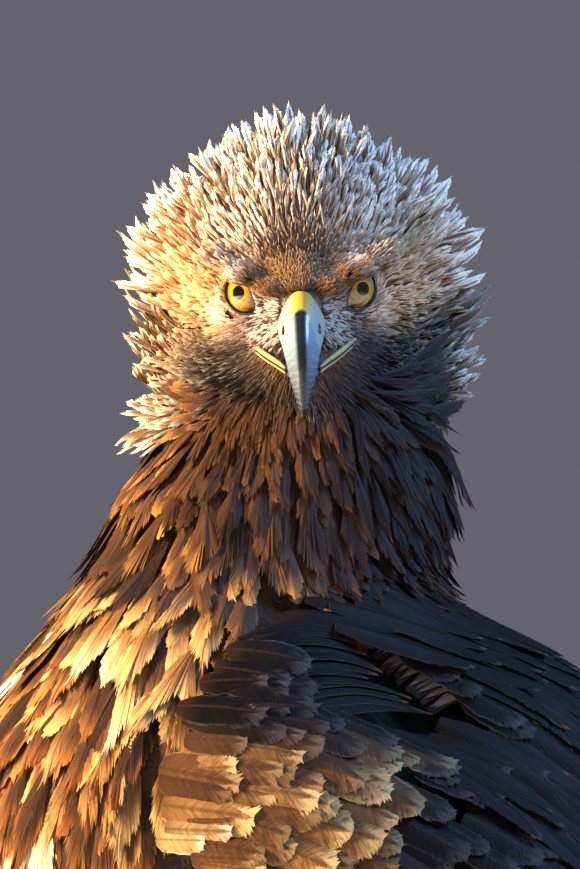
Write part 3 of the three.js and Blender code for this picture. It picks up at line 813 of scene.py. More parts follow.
@dataclass(frozen=True)
class VaneFinish:
    """The finish of feathers: barbs, shaft and fringe over the colours that each carries."""

    name: str
    barbs: float = 26.0
    slant: float = 0.28
    contrast: float = 0.5
    roughness: float = 0.62
    shaft: Array | None = None
    bars: float = 0.0
    sheen: float = 0.05
    gloss: float = 0.22
    down: float = 0.55

    def material(self) -> Material:
        """Builds the material."""
        g = Graph(self.name)
        u, v = g.unwrap("Vane")
        core, darkness = g.read("core", "Color", "Alpha")
        edge, fringe = g.read("edge", "Color", "Alpha")
        fine = g.noise(g.object_place(), 900.0)
        off = abs(u - 0.5) * 2.0
        strands = g.noise(g.vector((v - off * self.slant) * self.barbs, off * 1.6, fine * 0.6), 1.0, 3.0)
        inner = 1.0 - fringe
        rim = off.ramp(inner, 1.02).up_to(v.ramp(inner, 1.0)) * (strands * 0.9 + 0.35).ramp(0.25, 0.85)
        colour = g.mixed(core, edge, rim)
        if self.bars:
            wave = ((v + (fine - 0.5) * 0.03 - off * 0.03) * (self.bars * 2 * math.pi)).math("SINE")
            band = wave.ramp(0.1, 0.6).up_to(v.ramp(0.8, 0.84)) * (1.0 - v.ramp(0.975, 0.995))
            colour = g.mixed(colour, Palette.dusk, band * 0.88)
        colour = g.shaded(colour, strands.ramp(0.25, 0.75) * self.contrast + (1.0 - self.contrast * 0.62))
        colour = g.mixed(colour, Palette.umber * 0.6, (1.0 - v.ramp(0.0, 0.3)) * self.down)
        line = (1.0 - off.ramp(0.03, 0.13)) * darkness
        colour = g.mixed(colour, Palette.dusk if self.shaft is None else self.shaft, line)
        return g.finish(
            Base_Color=colour,
            Roughness=strands * 0.25 + (self.roughness - 0.12),
            Normal=g.bump(strands, 0.35, 0.0012),
            Sheen_Weight=self.sheen,
            Sheen_Roughness=0.5,
            Specular_IOR_Level=self.gloss,
        )


@dataclass(frozen=True)
class SkinFinish:
    """The skin between the feathers, with the coat's markings and a downy grain."""

    name: str = "skin_down"

    def material(self) -> Material:
        """Builds the material."""
        g = Graph(self.name)
        (core,) = g.read("core", "Color")
        down = g.noise(g.object_place(), 420.0, 4.0)
        return g.finish(
            Base_Color=g.shaded(core, down * 0.7 + 0.35), Roughness=0.85, Normal=g.bump(down, 0.6, 0.003)
        )


def scene_points(points: Array) -> Array:
    """Points of the bird's frame in the scene's frame, in metres."""
    return (points + ORIGIN) * MM


def read(rows: bpy.types.bpy_prop_collection, key: str, width: int, kind: type = float) -> Array:
    """Numbers of a mesh's elements, as rows of an array."""
    flat = np.empty(len(rows) * width, kind)
    rows.foreach_get(key, flat)
    return flat.reshape(-1, width)


def write(rows: bpy.types.bpy_prop_collection, key: str, values: Array, kind: type = np.float32) -> None:
    """Sets numbers of a mesh's elements from an array."""
    rows.foreach_set(key, values.astype(kind).ravel())


def new_object(name: str, mesh: bpy.types.Mesh, material: Material) -> Piece:
    """Puts a mesh in the scene under a name, with its material."""
    made = bpy.data.objects.new(name, mesh)
    bpy.context.scene.collection.objects.link(made)
    mesh.materials.append(material)
    return made


def smooth_faces(mesh: bpy.types.Mesh, sharp: float = 66.0) -> None:
    """Shades faces smooth, but not across edges sharper than an angle in degrees."""
    mesh.shade_smooth()
    mesh.set_sharp_from_angle(angle=math.radians(sharp))


def object_from(bm: Shell, name: str, material: Material, sharp: float = 60.0) -> Piece:
    """Turns a bmesh into a smooth object and frees it."""
    mesh = bpy.data.meshes.new(name)
    bm.to_mesh(mesh)
    bm.free()
    smooth_faces(mesh, sharp)
    return new_object(name, mesh, material)


def settle(piece: Piece, slot: str, *nodes: str) -> None:
    """Lets a piece ride on the body in the place of nodes, which it hides."""
    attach(piece, "root")
    if nodes:
        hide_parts(*nodes)


def joined(parts: list[Shell]) -> Shell:
    """Several bmeshes as one, which keeps them as separate shells."""
    whole = bmesh.new()
    for part in parts:
        scrap = bpy.data.meshes.new("part")
        part.to_mesh(scrap)
        part.free()
        whole.from_mesh(scrap)
        bpy.data.meshes.remove(scrap)
    return whole


def ball(segments: int, rings: int) -> Shell:
    """A sphere of radius 1 that is closed at its poles."""
    bm = bmesh.new()
    bmesh.ops.create_uvsphere(bm, u_segments=segments, v_segments=rings, radius=1)
    return bm


class Loft:
    """A closed horn or tube skinned over rings."""

    @staticmethod
    def made(rings: Array, closed: bool = False) -> Shell:
        """Bridges rings of points.

        Args:
            rings: Points in the bird's frame, by ring.
            closed: Whether the last ring joins the first, as in a hoop.

        Returns:
            The mesh, in metres in the scene's frame.
        """
        bm = bmesh.new()
        loops = []
        for ring in rings:
            made = bmesh.ops.create_circle(bm, cap_ends=False, segments=len(ring), radius=1)["verts"]
            for vert, point in zip(made, scene_points(ring)):
                vert.co = point
            loops.append(made)
        pairs = list(zip(loops, loops[1:] + loops[:1]))
        for first, second in pairs if closed else pairs[:-1]:
            for k, vert in enumerate(first):
                after = (k + 1) % len(first)
                bm.faces.new((vert, first[after], second[after], second[k]))
        if not closed:
            for ring in (loops[0], loops[-1]):
                edges = {e for v in ring for e in v.link_edges if e.other_vert(v) in ring}
                bmesh.ops.holes_fill(bm, edges=list(edges), sides=len(ring))
        bmesh.ops.recalc_face_normals(bm, faces=bm.faces)
        return bm

    @staticmethod
    def rings(path: Array, across: Array, size: Callable[[float, Array], tuple], around: int) -> Array:
        """Rings round a path.

        Args:
            path: Points along the middle.
            across: About the sideways direction.
            size: Half the width and height at a share of the length and round the ring.
            around: Points in a ring.

        Returns:
            Points, by ring.
        """
        ahead = unit(np.gradient(path, axis=0))
        up = unit(np.cross(ahead, across))
        side = unit(np.cross(up, ahead))
        angle = np.linspace(0, 2 * math.pi, around, endpoint=False) - math.pi / 2
        made = []
        for i, middle in enumerate(path):
            wide, high = size(i / (len(path) - 1), angle)
            flat, tall = np.outer(wide * np.cos(angle), side[i]), np.outer(high * np.sin(angle), up[i])
            made.append(middle + flat + tall)
        return np.array(made)


class Markings:
    """The bird's colours by place, for the skin and for every feather alike."""

    def __init__(self, core: Array, edge: Array) -> None:
        """Starts from rows of colour for vanes and for their fringes."""
        self.core, self.edge = core, edge

    @staticmethod
    def between(first: Array, second: Array, share: Array) -> Array:
        """Rows of colour from one to another."""
        return mix(np.atleast_2d(first), np.atleast_2d(second), np.asarray(share)[:, None])

    def blend(self, core: Array | None, core_share: Array, edge: Array | None, edge_share: Array) -> None:
        """Blends in a colour for the vanes and one for the fringes, each by a share."""
        if core is not None:
            self.core = self.between(self.core, core, core_share)
        if edge is not None:
            self.edge = self.between(self.edge, edge, edge_share)

    @classmethod
    def head(cls, points: Array, luck: Array) -> Colours:
        """Face, crown, cheeks and throat.

        Args:
            points: Roots of the feathers.
            luck: One random number for each, from 0 to 1.

        Returns:
            Their colours.
        """
        p, chance = Palette, luck[:, None]
        away, high, (ahead, left, up) = head_polar(points)
        left = np.abs(left)
        patch, fine = mottle(points, 12, 3), mottle(points, 4, 9)
        m = cls(
            cls.between(p.brown, p.rufous, smooth(away + 8 * patch, 28, 56)),
            cls.between(p.tan, p.cream, smooth(away + 5 * patch + 5 * fine, 28, 46)),
        )
        m.blend(mix(p.gold, p.cream, chance), 0.95 * smooth(away, 27, 50) * (0.6 + 0.4 * luck), None, 0)
        cheek = smooth(away, 34, 54) * fade(np.abs(high + 6), 18, 48)
        m.blend(p.gold, 0.6 * cheek, mix(p.buff, p.gold, 0.45 * chance), 0.85 * cheek * fade(away, 76, 100))
        lore = 0.85 * smooth(ahead, -4, 6) * fade(left, 17, 25) * fade(up, 1, 7) * smooth(up, -23, -13)
        bristle = smooth(luck, 0.25, 0.6)[:, None]
        m.blend(mix(p.umber, p.ash, bristle), lore, mix(p.slate * 0.6, p.frost, bristle), lore)
        forehead = smooth(up, 3, 8) * fade(left, 7, 24) * fade(away, 44, 80)
        dark = 0.6 * forehead * smooth(patch + 0.7 * fine, -0.2, 0.7)
        m.blend(p.umber, dark, mix(p.tan, p.buff, 0.6 * chance), 0.75 * forehead)
        brow = smooth(left, 24, 34) * fade(left, 44, 54) * smooth(up, 5, 9) * fade(up, 14, 21)
        brow = brow * smooth(ahead, -26, -6)
        m.blend(p.umber, 0.4 * brow, p.brown, 0.3 * brow)
        chin, outer = smooth(-high, 12, 40) * smooth(away, 23, 38), smooth(left, 36, 54)
        dark = 0.95 * chin
        m.blend(p.dusk, dark * (1 - 0.5 * outer), p.umber, dark * (1 - 0.4 * luck) * (1 - 0.85 * outer))
        shade = (1 - 0.3 * chin * (1 - outer))[:, None]
        fringe = mix(0.5, 0.66, smooth(away, 40, 80)) * (1 - 0.35 * chin)
        shaft = mix(0.2, 0.75, smooth(away, 62, 90))
        return Colours.of(
            m.core * shade * (0.8 + 0.4 * chance), m.edge * shade * mix(0.88, 1.08, chance), shaft, fringe
        )

    @classmethod
    def body(cls, points: Array, luck: Array) -> Colours:
        """Neck, breast, belly, back and legs.

        Args:
            points: Roots of the feathers.
            luck: One random number for each, from 0 to 1.

        Returns:
            Their colours.
        """
        p = Palette
        _, y, z = points.T
        patch = 0.7 * mottle(points, 22, 11) + 1.5 * (luck - 0.5)
        m = cls(
            cls.between(p.umber, p.brown, smooth(patch, -0.7, 0.7)),
            cls.between(p.rufous, p.gold, smooth(patch, -0.7, 0.5)),
        )
        breast = fade(y, -50, 0) * smooth(z, 250, 330) * fade(z, 470, 520)
        pale = breast * smooth(patch, 0.35, 0.9) * fade(y, -95, -40)
        sunlit, tipped = 0.55 * smooth(patch, -0.1, 0.9), 0.7 * smooth(patch, -0.3, 0.6)
        m.blend(p.tan, sunlit * breast, p.buff, tipped * breast)
        m.blend(p.gold, 0.3 * pale, p.cream, 0.55 * pale)
        neck = smooth(z, 450, 500)
        # Neck fringes stay rufous and gold on a random patch and turn brown elsewhere; on the back of the
        # upper neck they turn brown as painted shade.
        gold_fringe_unshaded = smooth(patch, 0.1, 0.8) * (1 - smooth(y, -50, -12) * smooth(z, 490, 525))
        m.blend(p.umber, 0.6 * neck, p.brown * 0.85, neck * (0.95 - 0.7 * gold_fringe_unshaded))
        # Dark back: the mantle's own dark brown, deepened to near-black as painted shade, which also covers
        # the back of the neck and the nape.
        back = smooth(y, -6, 34) * smooth(z, 330, 400)
        m.blend(p.night * 0.7, 0.9 * back, p.umber, 0.8 * back)
        under, shank = fade(z, 230, 330), fade(z, 70, 130)
        m.blend(p.umber, 0.4 * under, p.rufous, 0.5 * under)
        m.blend(p.tan, 0.8 * shank, p.buff, 0.7 * shank)
        core, edge = m.core * (0.78 + 0.44 * luck)[:, None], m.edge * mix(0.85, 1.1, luck)[:, None]
        return Colours.of(core, edge, 0.3, mix(0.3, 0.5, smooth(patch, -0.5, 0.9)) + 0.2 * pale - 0.1 * neck)

    @classmethod
    def skin(cls, points: Array) -> Array:
        """Colours of the skin itself, which are the cores of the feathers' colours."""
        luck = np.full(len(points), 0.5)
        body, head = (tone(points, luck).core[:, :3] for tone in (cls.body, cls.head))
        return cls.between(body, head, smooth(points[:, 2], 540, 556))


@dataclass
class Skin:
    """The one skin of the whole bird, under its coat."""

    voxel: float = 3.6
    depth_heights: tuple[float, ...] = (30, 110, 160, 250, 440, 520, 556)
    depths: tuple[float, ...] = (2, 3, 6, 7, 7, 4, 1.2)
    lowest: float = 14.0
    unwrap: str = "Unwrap"

    def build(self) -> Piece:
        """Melts the masses of flesh into one closed surface."""
        bm = bmesh.new()
        for mass in (*TRUNK, NECK, TAIL_STEM, *WING_ARMS, *LEGS, *SKULL, *BROWS):
            matrix = Matrix(mass.matrix()) @ Matrix.Diagonal((*mass.radii, 1))
            bmesh.ops.create_uvsphere(bm, u_segments=32, v_segments=20, radius=1, matrix=matrix)
        for vert in bm.verts:
            vert.co = scene_points(np.array(vert.co))
        rough = object_from(bm, "rough", bpy.data.materials.new("rough"))
        melt = rough.modifiers.new("Melt", "REMESH")
        melt.mode, melt.voxel_size = "VOXEL", self.voxel * MM
        mesh = bpy.data.meshes.new_from_object(rough.evaluated_get(bpy.context.evaluated_depsgraph_get()))
        mesh.name = "skin"
        bpy.data.objects.remove(rough)
        self.hide = Flesh((lambda points: FLESH(points) + self.depth(points),), 1)
        self.lay_on(mesh)
        self.refine(mesh)
        self.lay_on(mesh)
        mesh.materials.clear()
        self.piece = new_object("skin", mesh, SkinFinish().material())
        self.spread_out()
        self.keep()
        colours = np.hstack([Markings.skin(self.points), np.ones((len(self.points), 1))])
        write(mesh.attributes.new("core", "FLOAT_COLOR", "POINT").data, "color", colours)
        nodes = ("head", "neck", "torso", "thigh_left", "thigh_right", "tarsus_left", "tarsus_right")
        settle(self.piece, "torso", *nodes)
        return self.piece

    def depth(self, points: Array) -> Array:
        """How deep the skin lies under the flesh's outline, most of all under the cheeks in front."""
        _, y, z = points.T
        slim = fade(y, -30, 10) * smooth(z, 500, 526) * fade(z, 540, 562)
        return np.interp(z, self.depth_heights, self.depths) + 8 * slim

    def lay_on(self, mesh: bpy.types.Mesh) -> None:
        """Moves the mesh onto the flesh's surface, less the coat's depth."""
        points = read(mesh.vertices, "co", 3) / MM - ORIGIN
        for _ in range(6):
            points = points - FLESH.outward(points) * np.clip(self.hide(points), -6, 6)[:, None]
        points[:, 2] = np.maximum(points[:, 2], self.lowest)
        write(mesh.vertices, "co", scene_points(points), float)
        smooth_faces(mesh, 180)

    @staticmethod
    def refine(mesh: bpy.types.Mesh) -> None:
        """Halves the faces round the bill and the eyes."""
        bm = bmesh.new()
        bm.from_mesh(mesh)
        away, _, q = head_polar(np.array([edge.verts[0].co for edge in bm.edges]) / MM - ORIGIN)
        edges = [edge for edge, near in zip(bm.edges, (away < 62) & (q[0] > -22)) if near]
        bmesh.ops.subdivide_edges(bm, edges=edges, cuts=1, use_grid_fill=True)
        bmesh.ops.triangulate(bm, faces=[face for face in bm.faces if len(face.verts) > 4])
        bm.to_mesh(mesh)
        bm.free()

    def spread_out(self) -> None:
        """Unwraps the skin, for the places of its feathers."""
        bpy.context.view_layer.objects.active = self.piece
        self.piece.select_set(True)
        self.piece.data.uv_layers.new(name=self.unwrap)
        bpy.ops.object.mode_set(mode="EDIT")
        bpy.ops.mesh.select_all(action="SELECT")
        bpy.ops.uv.smart_project(angle_limit=math.radians(66), island_margin=0.004)
        bpy.ops.object.mode_set(mode="OBJECT")

    def keep(self) -> None:
        """Keeps the mesh's points, triangles and unwrap as arrays."""
        mesh = self.piece.data
        self.points = read(mesh.vertices, "co", 3) / MM - ORIGIN
        mesh.calc_loop_triangles()
        corners, loops = (read(mesh.loop_triangles, key, 3, int) for key in ("vertices", "loops"))
        self.triangles = self.points[corners]
        self.places = read(mesh.uv_layers[self.unwrap].uv, "vector", 2)[loops]
        edges = self.triangles[:, 1:] - self.triangles[:, :1]
        self.areas = np.linalg.norm(np.cross(edges[:, 0], edges[:, 1]), axis=1) / 2
        self.tree = BVHTree.FromPolygons(self.points.tolist(), corners.tolist())

    def unwrapped(self, roots: Array) -> Array:
        """Places of roots on the skin's unwrap."""
        found = [self.tree.find_nearest(Vector(root)) for root in roots]
        at, index = np.array([hit[0] for hit in found]), np.array([hit[2] for hit in found])
        a, b, c = self.triangles[index].transpose(1, 0, 2)
        whole = np.cross(b - a, c - a)
        square = np.maximum((whole**2).sum(axis=1), 1e-12)
        second = (np.cross(at - a, c - a) * whole).sum(axis=1) / square
        third = (np.cross(b - a, at - a) * whole).sum(axis=1) / square
        weights = np.clip(np.stack([1 - second - third, second, third], axis=1), 0, 1)
        return (self.places[index] * weights[:, :, None]).sum(axis=1)

    def roots(self, grows: Field, spacing: Field, seed: int) -> Array:
        """Evenly but loosely spread places on the skin.

        Args:
            grows: Whether feathers of this kind grow at points.
            spacing: Distance between them at points.
            seed: For the random draws.

        Returns:
            The roots.
        """
        random = np.random.default_rng(seed)
        middles = self.triangles.mean(axis=1)
        inside = np.flatnonzero(grows(middles))
        need = self.areas[inside] / spacing(middles[inside]) ** 2 * 9
        count = int(need.sum()) + 1
        picked = random.choice(inside, count, p=need / need.sum())
        a, b = np.sqrt(random.random((count, 1))), random.random((count, 1))
        corner = self.triangles[picked]
        points = corner[:, 0] * (1 - a) + corner[:, 1] * a * (1 - b) + corner[:, 2] * a * b
        apart = spacing(points)
        tree = KDTree(count)
        for i, point in enumerate(points.tolist()):
            tree.insert(point, i)
        tree.balance()
        free, chosen = np.ones(count, bool), []
        for i in range(count):
            if free[i]:
                chosen.append(i)
                free[[j for _, j, _ in tree.find_range(points[i], apart[i])]] = False
        return points[chosen]


class Coat:
    """One piece of the coat: many feathers joined in a mesh."""

    def __init__(self, name: str, skin: Skin, slot: str) -> None:
        """Starts an empty piece on the skin, and keeps the name of the record's material slot."""
        self.name, self.skin, self.slot = name, skin, slot
        self.parts: list[tuple[Array, ...]] = []
        self.count = 0

    def add(self, shapes: Shapes, colours: Colours, roots: Array) -> None:
        """Adds feathers.

        Args:
            shapes: Their meshes.
            colours: Their colours.
            roots: Where they grow.
        """
        feathers, per = shapes.points.shape[:2]
        faces = (shapes.faces + (np.arange(feathers) * per)[:, None, None]).reshape(-1, 3) + self.count
        vane = shapes.vane.reshape(-1, 2)
        core, edge, patch = (
            np.repeat(a, per, axis=0) for a in (colours.core, colours.edge, self.skin.unwrapped(roots))
        )
        bake = patch + (vane - 0.5) * PATCH
        self.parts.append((shapes.points.reshape(-1, 3), faces, vane, core, edge, bake))
        self.count += feathers * per

    def dress(
        self,
        curves: Curves,
        vane: SmoothVane | BarbedVane,
        core: Array,
        edge: Array,
        fringe: float,
        random: Random,
    ) -> None:
        """Adds feathers in given colours.

        Args:
            curves: The shafts.
            vane: How a feather is built.
            core: Colour or colours of the vanes.
            edge: The same of the fringes.
            fringe: Width of the fringe.
            random: For the draws.
        """
        count = len(curves.at)
        shade = random.uniform(0.8, 1.2, (count, 1))
        core, edge = (np.broadcast_to(c, (count, 3)) * shade for c in (core, edge))
        self.add(vane.shapes(curves, random), Colours.of(core, edge, 0.5, fringe), curves.at[:, 0])

    def build(self, material: Material, *replaced: str) -> None:
        """Makes the mesh and its object.

        Args:
            material: Its finish.
            replaced: Nodes of the frame that it stands for.
        """
        points, faces, vane, core, edge, patch = (np.concatenate(rows) for rows in zip(*self.parts))
        mesh = bpy.data.meshes.new(self.name)
        sizes = ((mesh.vertices, len(points)), (mesh.loops, faces.size), (mesh.polygons, len(faces)))
        for rows, count in sizes:
            rows.add(count)
        write(mesh.vertices, "co", scene_points(points))
        write(mesh.loops, "vertex_index", faces, np.int32)
        write(mesh.polygons, "loop_start", np.arange(0, faces.size, 3), np.int32)
        mesh.update(calc_edges=True)
        for label, values in (("Vane", vane), ("OFBake", patch)):
            write(mesh.uv_layers.new(name=label).uv, "vector", values[faces.ravel()])
        for label, values in (("core", core), ("edge", edge)):
            write(mesh.attributes.new(label, "FLOAT_COLOR", "POINT").data, "color", values)
        smooth_faces(mesh)
        settle(new_object(self.name, mesh, material), self.slot, *replaced)
        LOG.info("%s: %d triangles", self.name, len(faces))


def head_polar(points: Array) -> tuple[Array, Array, Array]:
    """Places on the head, seen from the bill.

    Args:
        points: Roots.

    Returns:
        Degrees away from the bill's axis, height of the bearing in degrees (90 is the crown's side,
        -90 the throat's), and the places ahead, to the left and up in the head's frame.
    """
    ahead, left, up = q = placed(points, TO_HEAD).T
    away = np.degrees(np.arctan2(np.hypot(left, up), ahead + 26))
    return away, np.degrees(np.arctan2(up, np.abs(left))), q


def reach_of_hair(points: Array) -> Array:
    """Degrees away from the bill, counted long above it and under the throat, where hair ends sooner."""
    away, high, _ = head_polar(points)
    above = 13 * smooth(high, -12, 18) + 12 * smooth(high, 30, 60)
    below = 12 * smooth(-high, 24, 50) * smooth(away, 26, 40)
    return away + (above + below) * fade(away, 48, 80)


def lie(points: Array) -> Array:
    """The way in which feathers lie: away from the bill on the head, down the neck, then back.

    Args:
        points: Roots.

    Returns:
        Directions, one long, not yet laid on the surface.
    """
    x, y, z = points.T
    q = placed(points, TO_HEAD) + (26.0, 0, 0)
    away = np.arctan2(np.hypot(q[:, 1], q[:, 2]), q[:, 0])[:, None]
    back = (unit(q * (0, 1, 1)) * np.cos(away) - X * np.sin(away)) @ HEAD[:3, :3].T
    fall = unit(xyz(0.1 * x / 60, mix(-0.34, 0.5, smooth(y, -70, 60)), -1))
    sweep = unit(xyz(0, mix(-0.1, 0.9, smooth(y, -110, 40)), mix(-1.0, -0.5, smooth(y, -110, 60))))
    trunk = mix(fall, sweep, fade(z, 360, 470)[:, None])
    belly = fade(z, 190, 260) * fade(np.abs(x), 26, 60)
    trunk = mix(trunk, unit(Y - 0.15 * Z), belly[:, None])
    limb = smooth(np.abs(x), 18, 34) * fade(z, 200, 250) * fade(y, 100, 130)
    trunk = mix(trunk, unit(0.22 * Y - Z), limb[:, None])
    nape = smooth(np.degrees(away[:, 0]), 100, 150) * fade(z, 600, 640)
    share = smooth(z + 14 * smooth(np.abs(y), 24, 50), 528, 562) * (1 - nape)
    return unit(mix(unit(trunk), back, share[:, None]))


def eye_clear(points: Array, ways: Array, length: Array, bare: float = 8.9, least: float = 2.6) -> Array:
    """Lengths cut short so that no feather reaches over an eye.

    Args:
        points: Roots.
        ways: Directions.
        length: The lengths that they would have.
        bare: Radius that stays clear round the eye's middle.
        least: The shortest that a cut feather may be.

    Returns:
        The lengths that they may have.
    """
    for eye in (EyePlace(side) for side in Side):
        to_eye = eye.centre + eye.look * EYEBALL * 0.8 - points
        ahead = (to_eye * ways).sum(axis=1)
        miss = np.linalg.norm(to_eye - ways * ahead[:, None], axis=1)
        free = np.maximum(ahead - np.sqrt(np.maximum(bare**2 - miss**2, 0)), least)
        length = np.where((miss < bare) & (ahead > 0), np.minimum(length, free), length)
    return length


@dataclass
class HeadCoat:
    """Fine hair on the face, and the raised hackles of the crown, cheeks and nape."""

    skin: Skin
    face_limit: float = 50.0
    hair_width: float = 1.1
    strands: int = 4
    seed: int = 5

    @staticmethod
    def bare(points: Array) -> Array:
        """Whether points lie in the opening of an eye or under the bill's horn."""
        ahead, left, up = placed(points, TO_HEAD).T
        bare = (ahead > 13) & (np.abs(left) < 8.4) & (up > -17) & (up < 7)
        for eye in (EyePlace(side) for side in Side):
            x, y, z = eye.seen(points)
            bare |= (np.hypot(x, y) < eye.opening(np.arctan2(y, x)) + 0.9) & (z > 0)
        return bare

    def on_face(self, points: Array) -> Array:
        """Whether hair, rather than hackles, grows at points."""
        return (reach_of_hair(points) < self.face_limit) & ~self.bare(points) & (points[:, 2] > 530)

    def in_zone(self, points: Array, first: float, last: float) -> Array:
        """Whether points lie in a zone of hackles between two reaches."""
        away, y = reach_of_hair(points), points[:, 1]
        floor = 549 - 5 * mottle(points, 12, 5) - 14 * smooth(np.abs(y), 24, 56) * smooth(-y, -80, 10)
        return (away >= first) & (away < last) & (points[:, 2] > floor) & ~self.bare(points)

    def lay(self, roots: Array, random: Random) -> Lay:
        """How feathers lie at roots on the head."""
        away, high, (ahead, left, up) = head_polar(roots)
        count = len(roots)
        luck = random.random(count)
        throat = smooth(-high, 40, 72) * smooth(away, 28, 44)
        rise = np.interp(away, [20, 40, 56, 72, 86, 96], [11, 12, 13, 18, 36, 56])
        rise = mix(mix(rise, 36, smooth(away, 112, 150)), 14, throat * 0.92)
        length = np.interp(away, [14, 30, 44, 58, 74, 92, 104, 130], [3.4, 5, 8.5, 14, 20, 25.5, 30, 40])
        length = mix(length, 15, smooth(-high, 16, 50) * smooth(away, 30, 44) * fade(away, 62, 80))
        length = length * (0.78 + 0.44 * luck)
        width = np.interp(away, [20, 36, 50, 62, 80, 100, 125], [1.2, 2.6, 4.0, 5.4, 6.8, 8.0, 8.6])
        width = np.where(reach_of_hair(roots) < self.face_limit, np.minimum(width, self.hair_width), width)
        bearings = [-70, -50, -30, -10, 10, 30, 44, 64, 80]
        longer = [0.1, 0.75, 0.65, 0.55, 0.32, 0.07, -0.03, -0.05, 0.08]
        beside = np.interp(high, bearings, longer) * smooth(away, 60, 90) * fade(away, 118, 140)
        length = length * (1 + beside) * (1 + 0.2 * (random.random(count) > 0.96) * smooth(away, 66, 84))
        rise = rise + 6 * beside + 16 * smooth(-high, 28, 50) * smooth(away, 60, 90)
        brow = smooth(ahead, -8, 0) * smooth(up, 3, 7) * fade(up, 16, 22) * smooth(np.abs(left), 6, 12)
        rise, length = rise * (1 + 0.2 * brow), length * (1 - 0.2 * brow)
        stray = np.interp(away, [20, 50, 70], [0.1, 0.16, 0.15])
        ways = unit(lie(roots) + random.normal(size=(count, 3)) * stray[:, None])
        flat = flat_on(ways, FACE.outward(roots))
        length = np.where(away < 62, eye_clear(roots, flat, length), length)
        raised = np.radians(rise * random.uniform(0.72, 1.2, count))
        roll = 0.3 * random.normal(size=count)
        return Lay(roots, ways, length, width * (1 - 0.35 * throat), raised, raised * 0.35, roll)

    def hair(self, random: Random) -> None:
        """Makes the face's hair, several strands to a root."""
        gap = lambda p: np.interp(head_polar(p)[0], [15, 50], [0.85, 1.2])
        middle = self.skin.roots(self.on_face, gap, 21)
        roots = np.repeat(middle, self.strands, axis=0)
        roots = roots + 0.42 * random.normal(size=roots.shape)
        roots = roots - FACE.outward(roots) * (FACE(roots) + 0.6)[:, None]
        luck = np.repeat(random.random(len(middle)), self.strands)
        tone = Markings.head(roots, np.clip(luck + 0.3 * random.normal(size=len(roots)), 0, 1))
        shapes = Tuft(rings=2, thick=0.22).shapes(self.lay(roots, random).curves(FACE, 4), random)
        finish = VaneFinish("face_hair", barbs=4, slant=0.1, contrast=0.25).material()
        left = roots[:, 1] > 0
        for label, chosen in (("face_hair_left", left), ("face_hair_right", ~left)):
            coat = Coat(label, self.skin, "head")
            part = Shapes(shapes.points[chosen], shapes.faces, shapes.vane[chosen])
            coat.add(part, Colours(tone.core[chosen], tone.edge[chosen]), roots[chosen])
            coat.build(finish)

    def build(self) -> None:
        """Makes the hair and the hackles."""
        random = np.random.default_rng(self.seed)
        self.hair(random)
        lance = lambda *form, **more: BarbedVane(Outline.LANCE, *form, **more)
        zones = (
            ("hackles_fore", 66, 1.4, lance(9, 0.5, shaft=False, loose=0.07)),
            ("hackles_cheek", 82, 1.75, lance(11, 0.48, loose=0.06, overlap=7)),
            ("hackles_crown", 106, 2.1, lance(12, 0.42, loose=0.05, overlap=8)),
            ("hackles_nape", 181, 3.0, lance(14, 0.4, loose=0.06, overlap=8)),
        )
        finish = VaneFinish("hackle", barbs=9, slant=0.6, contrast=0.26, shaft=Palette.dusk, down=0.2)
        material, first = finish.material(), self.face_limit
        for number, (name, last, gap, vane) in enumerate(zones):
            grows = lambda p: self.in_zone(p, first, last)
            roots = self.skin.roots(grows, lambda p: np.full(len(p), gap), 30 + number)
            curves = self.lay(roots, random).curves(BODY)
            coat = Coat(name, self.skin, "head")
            coat.add(vane.shapes(curves, random), Markings.head(roots, random.random(len(roots))), roots)
            coat.build(material)
            first = last


